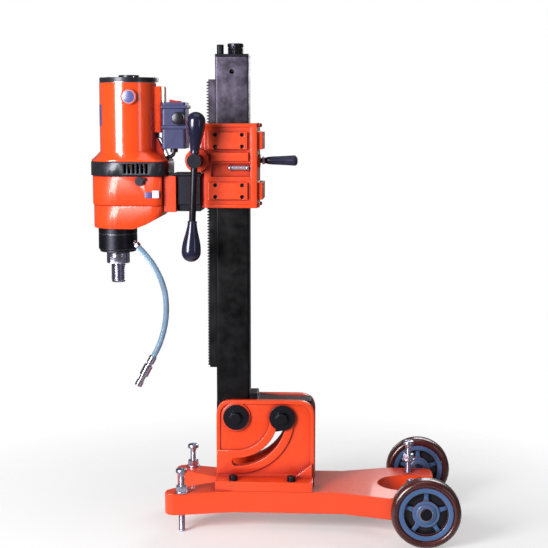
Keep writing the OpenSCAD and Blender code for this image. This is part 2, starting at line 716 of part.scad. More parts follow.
// ---------- Drill: mounting ----------
spacer_x = [-115, spine_x];
plate_x = [-143, -115];
spacer_y = 40;
module motor_spacer() color("#24263a") placed() difference() {
    union() {
        slab(spacer_x[0], spacer_x[1], spacer_y, case_low + 1, band_low);
        slab(spacer_x[0] - 10, spacer_x[1] + 3, spacer_y + 3, band_low, band_low + 5);
        slab(spacer_x[0] + 2, spacer_x[1], spacer_y - 4, case_low - 13, case_low + 1 + eps);
    }
    for (z = mount_bolt_z) for (y = [-21, 21]) xcyl(5.5, spacer_x[0] - 1, spacer_x[1] + 1, y, z);
    slab(spine_x, spine_x + 9, spine_y + eps, case_low - 20, band_low + 6);
}
module mount_plate() color("orangered") placed() difference() {
    slab(plate_x[0], plate_x[1], 48, case_low - 14, band_low);
    for (z = mount_bolt_z) for (y = [-21, 21]) {
        xcyl(5.5, plate_x[0] - 1, plate_x[1] + 1, y, z);
        xcyl(9, plate_x[0] - 1, plate_x[0] + 11, y, z);
    }
}
module mount_bolts() color("#303030") placed() for (z = mount_bolt_z) for (y = [-21, 21]) {
    xcyl(5, plate_x[0] + 10, -inner - 6, y, z);
    xcyl(8, plate_x[0] + 1, plate_x[0] + 10 + eps, y, z);
}

// ---------- Drill: housings ----------
module drill_plan(inset) {
    // Plan outline of the vent band and the gearbox, with its corners rounded
    front_r = band_y - inset;
    back_r = 30;
    front_x0 = -motor_x - band_fwd + inset;
    back_x1 = -motor_x + band_back - inset;
    translate([front_x0 + front_r, 0]) circle(front_r, $fn = 96);
    translate([front_x0 + front_r, -front_r]) square([back_x1 - back_r - front_x0 - front_r, 2 * front_r]);
    translate([back_x1 - back_r - 1, back_r - front_r]) square([back_r + 1, 2 * (front_r - back_r)]);
    for (y = [-1, 1]) translate([back_x1 - back_r, y * (front_r - back_r)]) circle(back_r);
}
flare_top = band_top + 22;
side_box = [-motor_x + 44, -motor_x + 72.5];
module motor_housing() color("orangered") placed() difference() {
    union() {
        zcyl(motor_r, band_top, cap_z, -motor_x, 0, $fn = 96);
        hull() {
            translate([0, 0, band_top]) linear_extrude(3) drill_plan(1);
            zcyl(motor_r, flare_top - 1, flare_top, -motor_x);
        }
        block(side_box[0], side_box[1], -26, 44, band_top + 60, cap_z - 8);
        hull() {
            block(side_box[0], side_box[1] - 10, -20, 40, band_top + 46, band_top + 50);
            block(side_box[0], side_box[1] + 9, -20, 40, band_top, band_top + 3);
        }
        ycyl(16.5, -motor_r - 1.5, -motor_r + 8, badge_x, badge_z);
    }
    zcyl(motor_r - motor_wall, band_top - 1, cap_z + 1, -motor_x);
    zcyl(19, band_top + 68, cap_z - 16, -motor_x + motor_r - 6, 12);
    ycyl(14.2, -motor_r - 2, -motor_r - 0.5, badge_x, badge_z);
}
badge_x = -motor_x + 9;
badge_z = cap_z - 30;
module motor_cap() color("#17181f") placed() difference() {
    union() {
        zcyl(motor_r - 0.5, cap_z, cap_z + 10, -motor_x);
        zcyl(22, cap_z + 9, cap_z + 15.5, -motor_x);
        zcyl(motor_r - motor_wall - 0.2, cap_z - 10, cap_z + eps, -motor_x);
    }
    zcyl(motor_r - motor_wall - 4, cap_z - 11, cap_z - 2, -motor_x);
    for (a = [0:30:330]) rotate_about(-motor_x, a) block(28, 54, -2.5, 2.5, cap_z - 12, cap_z + 12);
    zcyl(11, cap_z - 12, cap_z + 4, -motor_x);
}
module rotate_about(x, a) {
    translate([x, 0, 0]) rotate([0, 0, a]) children();
}
module vent_band() color("#15161c") placed() difference() {
    translate([0, 0, band_low]) linear_extrude(band_top - band_low) drill_plan(0);
    translate([0, 0, band_low - 1]) linear_extrude(band_top - band_low + 2) drill_plan(8);
    for (i = [0:5]) translate([-motor_x - 2 + i * 9, 0, 0])
        slab(0, 4.5, band_y + 1, band_low + 6, band_top - 4);
}
module gearbox_case() color("orangered") placed() difference() {
    translate([0, 0, case_low]) linear_extrude(band_low - case_low) drill_plan(3);
    translate([0, 0, case_low - 1]) linear_extrude(deck_low - case_low + 1) intersection() {
        drill_plan(3 + case_wall);
        translate([plate_x[0] - case_wall - 300, -100]) square([300, 200]);
    }
    slab(plate_x[0], 0, 100, case_low - 1, band_low + 1);
    zcyl(arm_bearing_r, deck_low - 1, band_low + 1, -motor_x);
    zcyl(lay_bearing_r, deck_low - 1, band_low - 4, lay_x, lay_y);
    zcyl(spindle_bearing_r, deck_low - 1, band_low - 4, spindle_x);
    ycyl(6, -case_y - 1, -case_y + case_wall + 1, knob_x, knob_z);
}
knob_x = -188;
knob_z = carriage_z - 31;
module gearbox_nose() color("orangered") placed() difference() {
    intersection() {
        translate([0, 0, nose_low]) linear_extrude(case_low - nose_low) drill_plan(5);
        // Side outline: flat under the spindle, then rising to the mounting plate
        translate([0, 100, 0]) rotate([90, 0, 0]) linear_extrude(200) polygon([[-400, case_low],
            [plate_x[0], case_low], [plate_x[0], case_low - 18], [-152, case_low - 26],
            [-178, nose_low + 9], [-202, nose_low], [-400, nose_low]]);
    }
    translate([0, 0, gearbox_floor]) linear_extrude(case_low - gearbox_floor + 1) intersection() {
        drill_plan(5 + case_wall);
        translate([-400, -100]) square([218, 200]);
    }
    zcyl(27, nose_low + 8, gearbox_floor + 1, spindle_x);
    zcyl(19, nose_low - 1, gearbox_floor + 1, spindle_x);
    zcyl(lay_bearing_r, gearbox_floor - 8, gearbox_floor + 1, lay_x, lay_y);
}
module neck() color("#14141a") placed() difference() {
    zcyl(neck_r, neck_low, nose_low, spindle_x, 0, $fn = 96);
    zcyl(23, neck_low + 8, nose_low + 1, spindle_x);
    zcyl(19, neck_low - 1, nose_low + 1, spindle_x);
    aimed(inlet_at, inlet_dir) {
        translate([0, 0, -60]) cylinder(r = 4, h = 62);
        translate([0, 0, -7]) cylinder(r = 8.6, h = 20);
    }
}
inlet_at = [hose_pts[0][0], hose_pts[0][1], carriage_z + hose_pts[0][2]];

// ---------- Drill: inside ----------
module stator() color("#8a8d92") placed() difference() {
    zcyl(motor_r - motor_wall, carriage_z + 48, carriage_z + 112, -motor_x);
    zcyl(31, carriage_z + 47, carriage_z + 113, -motor_x);
}
arm_r = 8;
module armature() color("#b87333") placed() translate([-motor_x, 0, 0]) {
    zcyl(arm_r, deck_low - 0.5, cap_z + 2);
    zcyl(29.5, carriage_z + 50, carriage_z + 110);
    zcyl(18, carriage_z + 122, carriage_z + 146);
    zcyl(10, band_top + 6, band_top + 26);
    for (a = [0:30:330]) rotate([0, 0, a]) block(9, 46, -1.5, 1.5, band_top + 8, band_top + 20);
    zcyl(46, band_top + 20 - eps, band_top + 23);
    zcyl(5.5, fast_z - 2, deck_low);
    translate([0, 0, fast_z]) gear(fast_m, arm_teeth, fast_w);
}
module layshaft() color("#9a9da3") placed() translate([lay_x, lay_y, 0]) {
    zcyl(5, gearbox_floor - 7, band_low - 5);
    translate([0, 0, fast_z + 1]) rotate([0, 0, lay_turn_fast]) gear(fast_m, lay_big, fast_w - 2);
    translate([0, 0, slow_z - 2]) rotate([0, 0, lay_turn_slow]) gear(slow_m, lay_small, slow_w + 4);
}
// Turns that put a gap of each follower opposite a tooth of its driver
lay_bearing = atan2(lay_y, lay_x + motor_x);
spin_bearing = atan2(lay_y, lay_x - spindle_x);
lay_turn_fast = meshed(lay_bearing, arm_teeth, lay_big);
lay_turn_slow = meshed(spin_bearing, spindle_teeth, lay_small);
function meshed(bearing, n_driver, n_follower) =
    bearing + 180 + 180 / n_follower + bearing * n_driver / n_follower;
module spindle() color("#a6a8ad") placed() translate([spindle_x, 0, 0]) difference() {
    union() {
        zcyl(15, collar_low, slow_z + slow_w);
        zcyl(7, slow_z, band_low - 5);
        translate([0, 0, slow_z]) gear(slow_m, spindle_teeth, slow_w);
        zcyl(24.5, collar_low, neck_low - 1.2);
        zcyl(nose_d / 2, spindle_low + 2, collar_low + eps);
        translate([0, 0, spindle_low]) cylinder(r1 = nose_d / 2 - 2, r2 = nose_d / 2, h = 2 + eps);
    }
    zcyl(water_d / 2, spindle_low - 1, neck_low + 30);
    xcyl(3, -20, 20, 0, neck_low + 24);
    both_sides() block(-30, 30, 20.5, 30, collar_low - 1, collar_low + 14);
}
module ring(r, bore, z0, z1, x, y = 0) {
    difference() {
        zcyl(r, z0, z1, x, y);
        zcyl(bore, z0 - 1, z1 + 1, x, y);
    }
}
module drill_bearings() color("#c9ccd1") placed() {
    ring(11, arm_r + run, cap_z - 8, cap_z + 3, -motor_x);
    ring(arm_bearing_r, arm_r + run, deck_low, band_low, -motor_x);
    ring(lay_bearing_r, 5 + run, deck_low, band_low - 4, lay_x, lay_y);
    ring(lay_bearing_r, 5 + run, gearbox_floor - 8, gearbox_floor, lay_x, lay_y);
    ring(spindle_bearing_r, 7 + run, deck_low, band_low - 4, spindle_x);
    ring(27, 15 + run, nose_low + 9, gearbox_floor - 2, spindle_x);
}
module brush_holders() color("#c9a25a") placed() for (y = [-1, 1])
    block(-motor_x - 7, -motor_x + 7, y > 0 ? 19 : 1 + motor_wall - motor_r,
        y > 0 ? motor_r - motor_wall - 1 : -19, carriage_z + 126, carriage_z + 142);
module neck_seals() color("#2b2b2b") placed() {
    ring(23, 15 + run, neck_low + 9, neck_low + 17, spindle_x);
    ring(23, 15 + run, neck_low + 32, neck_low + 40, spindle_x);
}

// ---------- Drill: controls ----------
module gear_knob() color("#26262e") placed() {
    ycyl(6 - run, -case_y - 3, -case_y + case_wall - 1, knob_x, knob_z);
    ycyl(9, -case_y - 8, -case_y - gap, knob_x, knob_z);
    translate([knob_x, 0, knob_z]) rotate([0, -20, 0]) block(-3, 14, -case_y - 7, -case_y - 1, -3, 3);
}
box_x = [-motor_x + 72.5, -96];
box_y = [-34, 30];
box_z = [carriage_z + 35, carriage_z + 131];
dial_x = -111;
dial_z = carriage_z + 98;
module switch_box() color("#4c5a86") placed() difference() {
    union() {
        translate([0, 0, box_z[0]]) linear_extrude(box_z[1] - box_z[0])
            rounded_rect(box_x[0], box_x[1], box_y[0], box_y[1], 6);
        // Two straps that hold the box on the motor
        difference() {
            for (z = [118, 76]) block(box_x[0] - 2, box_x[1] + 3, box_y[0] - 3, box_y[1] + 3,
                carriage_z + z, carriage_z + z + 7);
            block(box_x[0] - 5, box_x[0], -60, 60, box_z[0], box_z[1]);
        }
    }
    block(box_x[0] + 4, box_x[1] - 4, box_y[0] + 4, box_y[1] - 4, box_z[0] + 4, box_z[1] - 6);
    block(switch_x - 14.5, switch_x + 14.5, -11.5, 11.5, box_z[1] - 8, box_z[1] + 1);
    ycyl(4, box_y[0] - 1, box_y[0] + 5, dial_x, dial_z);
}
switch_x = -120;
module power_switch() color("#c02020") placed() translate([switch_x, 0, box_z[1] - 3]) {
    translate([0, 10.8, 0]) rotate([90, 0, 0]) linear_extrude(21.6)
        polygon([[-13, 0], [-12.5, 9], [0, 6.5], [12.5, 6], [13, 0], [0, -2.5]]);
}
module speed_dial() color("#1a1a22") placed() {
    ycyl(4 - run, box_y[0] - 4, box_y[0] + 3, dial_x, dial_z);
    difference() {
        ycyl(13.5, box_y[0] - 13, box_y[0] - gap - 3, dial_x, dial_z);
        ycyl(14, box_y[0] - 14, box_y[0] - 12, dial_x + 40, dial_z);
    }
    block(dial_x - 1.5, dial_x + 1.5, box_y[0] - 14, box_y[0] - 12, dial_z + 2, dial_z + 13);
}
lead_pts = [[-124, -5, 35], [-124, -5, 28], [-126, -5, 22], [-131, -5, 18], [-139, -5, 16]];
module motor_lead() color("#15151a") placed() translate([0, 0, carriage_z]) {
    tube(lead_pts, 4, 10);
    zcyl(8, 27, 35, -124, -5);
}

// ---------- Water line ----------
// A swept tube: one ring of corners at each point of the line
function unit(v) = v / norm(v);
function tangent(p, i) = unit(p[min(i + 1, len(p) - 1)] - p[max(i - 1, 0)]);
function ring_points(p, i, r, n) = let (
        t = tangent(p, i),
        a = unit(cross(t, [0, 1, 0])),
        b = cross(t, a)
    ) [for (k = [0:n - 1]) p[i] + r * (cos(k * 360 / n) * a + sin(k * 360 / n) * b)];
module tube(p, r, n) {
    last = (len(p) - 1) * n;
    polyhedron(
        points = [for (i = [0:len(p) - 1]) each ring_points(p, i, r, n)],
        faces = concat(
            [[for (k = [0:n - 1]) k]],
            [for (i = [0:len(p) - 2]) for (k = [0:n - 1])
                [i * n + k, (i + 1) * n + k, (i + 1) * n + (k + 1) % n, i * n + (k + 1) % n]],
            [[for (k = [n - 1:-1:0]) last + k]]));
}
module water_inlet() color("#c8ccd2") placed() aimed(inlet_at, inlet_dir) {
    translate([0, 0, -20]) cylinder(r = 4 - eps, h = 20);
    translate([0, 0, -7]) hexagon(14, 7);
}
module water_hose() color([0.62, 0.75, 0.86, 0.6]) placed() translate([0, 0, carriage_z])
    tube(hose_pts, hose_d / 2, 10);
coupler_at = [hose_pts[18][0], hose_pts[18][1], carriage_z + hose_pts[18][2]];
module hose_coupler() color("#9aa0a8") placed() aimed(coupler_at, coupler_dir) difference() {
    union() {
        cylinder(r = 8, h = 16);
        translate([0, 0, 16 - eps]) cylinder(r = 6, h = 6);
        translate([0, 0, 22 - 2 * eps]) cylinder(r = 9.5, h = 24);
        translate([0, 0, 46 - 3 * eps]) cylinder(r = 6.5, h = 14);
        translate([0, 0, 60 - 4 * eps]) cylinder(r = 8, h = 12);
    }
    translate([0, 0, 40]) cylinder(r = 3.5, h = 40);
}

// ---------- Plates ----------
module name_plates() color("#8f9bc0") placed() {
    ycyl(14, -motor_r - 1.2, -motor_r - 0.5, badge_x, badge_z);
    block(-162, -148, -case_y - 1.2, -case_y - 0.01, carriage_z - 66, carriage_z - 50);
    block(-178, -163, -case_y - 1.2, -case_y - 0.01, carriage_z - 66, carriage_z - 54);
}

base_casting();
level_nuts();
level_screw_front_near();
level_screw_front_far();
level_screw_rear_near();
level_screw_rear_far();
wheel_axle();
near_tyre();
near_hub();
near_bushes();
far_tyre();
far_hub();
far_bushes();
near_cheek();
far_cheek();
cheek_screws();
pivot_bolt();
lock_bolt();
column_tube();
column_foot();
rack();
column_cap();
jack_screw();
brace_bolt();
carriage();
slide_pads();
pad_screws();
pinion_shaft();
pinion_bushes();
feed_bar();
feed_grips();
lock_handle();
lock_shoe();
spirit_vial();
motor_spacer();
mount_plate();
mount_bolts();
motor_housing();
motor_cap();
vent_band();
gearbox_case();
gearbox_nose();
stator();
armature();
drill_bearings();
brush_holders();
layshaft();
spindle();
neck();
neck_seals();
gear_knob();
switch_box();
power_switch();
speed_dial();
motor_lead();
water_inlet();
water_hose();
hose_coupler();
name_plates();
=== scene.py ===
import json
import math

import bmesh
import bpy
from mathutils import Matrix, Vector


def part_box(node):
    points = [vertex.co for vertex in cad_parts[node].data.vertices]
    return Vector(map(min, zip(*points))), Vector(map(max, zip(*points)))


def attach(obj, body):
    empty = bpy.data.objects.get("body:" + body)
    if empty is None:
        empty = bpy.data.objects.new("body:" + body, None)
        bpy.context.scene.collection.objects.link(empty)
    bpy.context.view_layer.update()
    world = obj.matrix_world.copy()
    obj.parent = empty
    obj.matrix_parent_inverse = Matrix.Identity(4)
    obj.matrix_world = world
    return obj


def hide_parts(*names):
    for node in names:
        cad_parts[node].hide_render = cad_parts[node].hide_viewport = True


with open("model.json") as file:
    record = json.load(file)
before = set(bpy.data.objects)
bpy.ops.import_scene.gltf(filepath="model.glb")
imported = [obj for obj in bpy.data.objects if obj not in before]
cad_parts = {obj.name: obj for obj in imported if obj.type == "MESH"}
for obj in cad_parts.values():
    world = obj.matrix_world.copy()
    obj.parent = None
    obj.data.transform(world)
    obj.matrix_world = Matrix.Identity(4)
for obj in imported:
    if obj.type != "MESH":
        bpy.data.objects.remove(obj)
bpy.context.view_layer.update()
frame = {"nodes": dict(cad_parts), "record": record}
nodes = frame["nodes"]
record = frame["record"]
slot_of = {row["node"]: row["material_slot"] for row in record["subparts"]}

MM = 0.001
column_x = sum(v[0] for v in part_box("column_tube")) / 2


def box_mm(node):
    """A node's lowest and highest corners in millimetres from the column's axis and the floor."""
    return [Vector(((v[0] - column_x) / MM, v[1] / MM, v[2] / MM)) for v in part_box(node)]


def middle(node):
    low, high = box_mm(node)
    return (low + high) / 2


def to_row(x, y, z):
    """A point in millimetres from the column's axis, as metres in the row frame."""
    return (column_x + x * MM, y * MM, z * MM)


# ---------- Camera ----------
def set_camera():
    """A long lens a little above the carriage and to the right of the column."""
    yaw, pitch = math.radians(3.48), math.radians(7.16)
    data = bpy.data.cameras.new("camera")
    data.sensor_width = 36.0
    data.lens = 82.97
    data.clip_end = 50.0
    camera = bpy.data.objects.new("camera", data)
    bpy.context.scene.collection.objects.link(camera)
    look = Vector((-math.sin(yaw) * math.cos(pitch), math.cos(yaw) * math.cos(pitch), -math.sin(pitch)))
    turn = look.to_track_quat("-Z", "Y").to_matrix().to_4x4()
    camera.matrix_world = Matrix.Translation((0.1605, -2.6556, 0.869)) @ turn
    bpy.context.scene.camera = camera


set_camera()


# ---------- Materials ----------
class Finish:
    """A material under construction: its node tree and shader."""

    def __init__(self, name, **sockets):
        self.material = bpy.data.materials.new(name)
        self.material.use_nodes = True
        self.tree = self.material.node_tree
        self.shader = self.tree.nodes["Principled BSDF"]
        for key, value in sockets.items():
            self.shader.inputs[key.replace("_", " ")].default_value = value
        self.place = self.node("ShaderNodeTexCoord").outputs["Object"]

    def node(self, kind, **inputs):
        made = self.tree.nodes.new(kind)
        for key, value in inputs.items():
            socket = made.inputs[key]
            if isinstance(value, bpy.types.NodeSocket):
                self.tree.links.new(value, socket)
            else:
                socket.default_value = value
        return made

    def set(self, socket, value):
        self.tree.links.new(value, self.shader.inputs[socket])

    def noise(self, scale, detail=3.0, rough=0.5, stretch=None):
        """Noise from 0 to 1 at this many cells a metre; stretch makes it longer along an axis."""
        place = self.place
        if stretch:
            place = self.node("ShaderNodeMapping", Vector=place, Scale=stretch).outputs["Vector"]
        made = self.node("ShaderNodeTexNoise", Vector=place, Scale=scale, Detail=detail, Roughness=rough)
        return made.outputs["Fac"]

    def ramp(self, value, low, high, out_low=0.0, out_high=1.0):
        made = self.node("ShaderNodeMapRange", Value=value)
        for key, number in (("From Min", low), ("From Max", high), ("To Min", out_low), ("To Max", out_high)):
            made.inputs[key].default_value = number
        return made.outputs["Result"]

    def mix(self, factor, a, b):
        made = self.tree.nodes.new("ShaderNodeMix")
        made.data_type = "RGBA"
        for index, value in ((0, factor), (6, a), (7, b)):
            if isinstance(value, bpy.types.NodeSocket):
                self.tree.links.new(value, made.inputs[index])
            elif index:
                made.inputs[index].default_value = (*value, 1.0)
            else:
                made.inputs[index].default_value = value
        return made.outputs[2]

    def times(self, a, b):
        made = self.tree.nodes.new("ShaderNodeMath")
        made.operation = "MULTIPLY"
        for index, value in enumerate((a, b)):
            if isinstance(value, bpy.types.NodeSocket):
                self.tree.links.new(value, made.inputs[index])
            else:
                made.inputs[index].default_value = value
        return made.outputs[0]

    def bump(self, height, strength, distance):
        made = self.node("ShaderNodeBump", Height=height, Strength=strength, Distance=distance)
        self.set("Normal", made.outputs["Normal"])

    def painted_shade_mask(self, reach):
        """1 in corners and recesses within this reach, 0 on open faces: an ambient occlusion mask for painted
        shade.
        """
        made = self.node("ShaderNodeAmbientOcclusion", Distance=reach)
        made.samples = 8
        return self.ramp(made.outputs["AO"], 0.92, 0.42)

    def edges(self, radius):
        """1 along sharp edges, 0 elsewhere: the mask for painted edge highlights."""
        soft = self.node("ShaderNodeBevel", Radius=radius)
        soft.samples = 6
        flat = self.node("ShaderNodeNewGeometry")
        dot = self.tree.nodes.new("ShaderNodeVectorMath")
        dot.operation = "DOT_PRODUCT"
        self.tree.links.new(soft.outputs["Normal"], dot.inputs[0])
        self.tree.links.new(flat.outputs["Normal"], dot.inputs[1])
        return self.ramp(dot.outputs["Value"], 0.99, 0.86)


def enamel(name, colour, deep, rough, coat, peel):
    """Sprayed enamel with orange peel: painted shade in the deep colour in corners and recesses, and painted
    highlights in a paler colour along edges.
    """
    f = Finish(name, Coat_Weight=coat, Coat_Roughness=0.06, IOR=1.5)
    cloud = f.ramp(f.noise(9.0), 0.35, 0.7)
    body = f.mix(f.times(cloud, 0.35), colour, tuple(c * 0.82 for c in colour))
    # Painted shade: corners and recesses are mixed toward the deep colour.
    shaded = f.mix(f.painted_shade_mask(0.04), body, deep)
    # Painted highlight: sharp edges are mixed toward a paler orange.
    edge_highlighted = f.mix(f.times(f.edges(0.0016), 0.4), shaded, (0.9, 0.13, 0.04))
    f.set("Base Color", edge_highlighted)
    f.set("Roughness", f.ramp(f.noise(140.0), 0.3, 0.7, rough - 0.05, rough + 0.07))
    f.bump(f.noise(peel, 2.0), 0.12, 0.0006)
    return f.material


def plastic(name, colour, rough, grain, coat=0.0, tint=(1.0, 1.0, 1.0), strength=0.15):
    """Moulded plastic with a fine grain and a little dulling where hands and dust have been."""
    f = Finish(name, Coat_Weight=coat, Coat_Roughness=0.1, Specular_Tint=(*tint, 1.0))
    cloud = f.ramp(f.noise(22.0), 0.35, 0.75)
    dusty = tuple(min(1.0, c * 1.35 + 0.008) for c in colour)
    f.set("Base Color", f.mix(f.times(cloud, 0.6), colour, dusty))
    f.set("Roughness", f.ramp(f.noise(60.0), 0.3, 0.7, rough - 0.05, rough + 0.08))
    f.bump(f.noise(grain, 2.0), strength, 0.0003)
    return f.material


def steel(name, colour, rough, brushed, dark=0.6):
    """Machined or plated steel: fine tool marks, a slight blotch, and painted highlights that brighten its
    edges.
    """
    f = Finish(name, Metallic=1.0)
    blotch = f.ramp(f.noise(35.0, 4.0), 0.35, 0.7)
    body = f.mix(f.times(blotch, 0.5), colour, tuple(c * dark for c in colour))
    # Painted highlight: sharp edges are mixed toward a pale silver.
    f.set("Base Color", f.mix(f.times(f.edges(0.0008), 0.5), body, (0.85, 0.85, 0.92)))
    marks = f.noise(500.0, 2.0, 0.5, brushed)
    f.set("Roughness", f.ramp(marks, 0.3, 0.7, rough - 0.06, rough + 0.1))
    f.bump(marks, 0.12, 0.0003)
    return f.material


def column_finish():
    """Ground tube steel: near black, with a painted mottled lilac-grey reflection on its upper part and
    painted highlights along its edges.
    """
    f = Finish("column_steel", Metallic=0.55)
    height = f.node("ShaderNodeSeparateXYZ", Vector=f.place).outputs["Z"]
    drift = f.times(f.noise(14.0, 4.0), 0.05)
    total = f.tree.nodes.new("ShaderNodeMath")
    f.tree.links.new(height, total.inputs[0])
    f.tree.links.new(drift, total.inputs[1])
    # Painted reflection: above a height of about 0.86 to 0.93 m the tube takes a mottled lilac grey; below it
    # stays near black.
    upper_reflection_mask = f.ramp(total.outputs[0], 0.86, 0.93)
    mottle = f.ramp(f.noise(28.0, 6.0, 0.65), 0.4, 0.66)
    painted_reflection = f.mix(mottle, (0.05, 0.04, 0.065), (0.16, 0.135, 0.2))
    lower_black = f.mix(f.times(mottle, 0.7), (0.003, 0.003, 0.0035), (0.011, 0.01, 0.013))
    # Painted highlight: sharp edges are mixed toward a pale lilac.
    f.set("Base Color", f.mix(f.times(f.edges(0.0012), 0.35), f.mix(upper_reflection_mask, lower_black, painted_reflection), (0.2, 0.17, 0.26)))
    f.set("Roughness", f.ramp(f.noise(45.0, 5.0), 0.3, 0.7, 0.26, 0.52))
    f.bump(f.noise(160.0, 5.0, 0.6, (1.0, 1.0, 0.35)), 0.2, 0.0006)
    return f.material


def tyre_finish():
    """Cast polyurethane: deep maroon, glossy, with mould rings and a scuffed tread."""
    f = Finish("tyre", Coat_Weight=0.7, Coat_Roughness=0.12, Specular_IOR_Level=0.6)
    cloud = f.ramp(f.noise(16.0, 4.0), 0.35, 0.7)
    f.set("Base Color", f.mix(cloud, (0.05, 0.006, 0.006), (0.085, 0.012, 0.012)))
    f.set("Roughness", f.ramp(f.noise(90.0), 0.3, 0.7, 0.2, 0.36))
    f.bump(f.noise(420.0, 3.0), 0.15, 0.0005)
    return f.material


def clear_finish(name, colour, rough, weight):
    """Clear plastic or glass that still shows its own tint."""
    f = Finish(name, Roughness=rough, Transmission_Weight=weight, IOR=1.45)
    f.set("Base Color", f.mix(f.ramp(f.noise(30.0), 0.3, 0.7), colour, tuple(c * 0.8 for c in colour)))
    f.bump(f.noise(90.0), 0.05, 0.0005)
    return f.material


def label_finish(name, colour, edge):
    """A blank printed foil plate with a satin face and a slight ripple."""
    f = Finish(name, Coat_Weight=0.5, Coat_Roughness=0.2)
    f.set("Base Color", f.mix(f.ramp(f.noise(60.0), 0.35, 0.7), colour, edge))
    f.set("Roughness", f.ramp(f.noise(200.0), 0.3, 0.7, 0.28, 0.42))
    f.bump(f.noise(300.0), 0.08, 0.0003)
    return f.material


orange = (0.88, 0.062, 0.008)
# The deep red is painted shade for the orange enamels' corners and recesses.
painted_shade_red = (0.3, 0.003, 0.005)
lilac = (0.82, 0.82, 1.0)
finishes = {
    "orange_paint": enamel("orange_paint", orange, painted_shade_red, 0.34, 0.35, 420.0),
    "orange_plastic": enamel("orange_plastic", (0.9, 0.07, 0.008), painted_shade_red, 0.18, 1.0, 60.0),
    "black_steel": steel("black_steel", (0.035, 0.035, 0.045), 0.36, (1.0, 1.0, 1.0)),
    "column_steel": column_finish(),
    "bright_steel": steel("bright_steel", (0.6, 0.6, 0.76), 0.28, (1.0, 1.0, 0.2)),
    "gear_steel": steel("gear_steel", (0.42, 0.42, 0.46), 0.38, (1.0, 1.0, 0.3)),
    "chrome": steel("chrome", (0.5, 0.48, 0.62), 0.2, (1.0, 1.0, 4.0), 0.4),
    "bronze": steel("bronze", (0.55, 0.34, 0.12), 0.4, (1.0, 1.0, 1.0)),
    "copper": steel("copper", (0.6, 0.25, 0.1), 0.42, (1.0, 1.0, 6.0)),
    "tyre": tyre_finish(),
    # The near-black second colour of the hub enamel is painted shade for its corners and recesses.
    "hub_grey": enamel("hub_grey", (0.06, 0.15, 0.34), (0.003, 0.006, 0.01), 0.35, 0.3, 500.0),
    "grip": plastic("grip", (0.008, 0.008, 0.03), 0.2, 300.0, 0.6, lilac),
    "black_plastic": plastic("black_plastic", (0.009, 0.009, 0.012), 0.33, 700.0, 0.2, lilac),
    "switch_grey": plastic("switch_grey", (0.035, 0.038, 0.11), 0.36, 800.0, 0.1, lilac),
    "red_plastic": plastic("red_plastic", (0.5, 0.012, 0.02), 0.28, 300.0, 0.5),
    "rubber": plastic("rubber", (0.012, 0.012, 0.012), 0.6, 500.0),
    "hose_pvc": clear_finish("hose_pvc", (0.42, 0.62, 0.85), 0.12, 0.55),
    "plate_blue": label_finish("plate_blue", (0.07, 0.075, 0.25), (0.1, 0.11, 0.32)),
    "vial_glass": clear_finish("vial_glass", (0.5, 0.42, 0.5), 0.08, 0.3),
}
label_white = label_finish("label_white", (0.62, 0.6, 0.7), (0.72, 0.7, 0.78))
label_pale = label_finish("label_pale", (0.45, 0.25, 0.3), (0.55, 0.32, 0.36))
navy_steel = plastic("navy_steel", (0.012, 0.012, 0.035), 0.32, 500.0, 0.3, lilac)


# ---------- Outlines, in millimetres ----------
def arc(x, y, r, start, end, steps=12):
    angles = [math.radians(start + (end - start) * k / steps) for k in range(steps + 1)]
    return [(x + r * math.cos(a), y + r * math.sin(a)) for a in angles]


def round_rect(x0, x1, y0, y1, r, steps=6):
    corners = ((x1 - r, y0 + r, -90), (x1 - r, y1 - r, 0), (x0 + r, y1 - r, 90), (x0 + r, y0 + r, 180))
    return [p for x, y, a in corners for p in arc(x, y, r, a, a + 90, steps)]


def filleted(points, radius, steps=6):
    """A closed outline with each corner rounded; radius is one number or one for each corner."""
    radii = radius if isinstance(radius, (list, tuple)) else [radius] * len(points)
    out = []
    for i, r in enumerate(radii):
        before, here, after = (Vector(points[(i + k) % len(points)]) for k in (-1, 0, 1))
        a, b = (before - here), (after - here)
        half = a.angle(b) / 2
        if r <= 0 or half > math.radians(88):
            out.append(tuple(here))
            continue
        cut = min(r / math.tan(half), 0.48 * a.length, 0.48 * b.length)
        start, end = here + a.normalized() * cut, here + b.normalized() * cut
        for k in range(steps + 1):
            t = k / steps
            out.append(tuple(start * (1 - t) ** 2 + here * (2 * t * (1 - t)) + end * t ** 2))
    return out


def circle(x, y, r, steps=48):
    return arc(x, y, r, 0, 360, steps)[:-1]


def signed_area(loop):
    return sum(a[0] * b[1] - b[0] * a[1] for a, b in zip(loop, loop[1:] + loop[:1])) / 2


# ---------- Solids, in millimetres from the column's axis and the floor ----------
def planed(bm, plane):
    """Turns a solid drawn in (u, v, depth) so that it lies in the named plane."""
    order = {"XY": (0, 1, 2), "XZ": (0, 2, 1), "YZ": (2, 0, 1)}[plane]
    for vert in bm.verts:
        vert.co = Vector([vert.co[i] for i in order])
    return bm


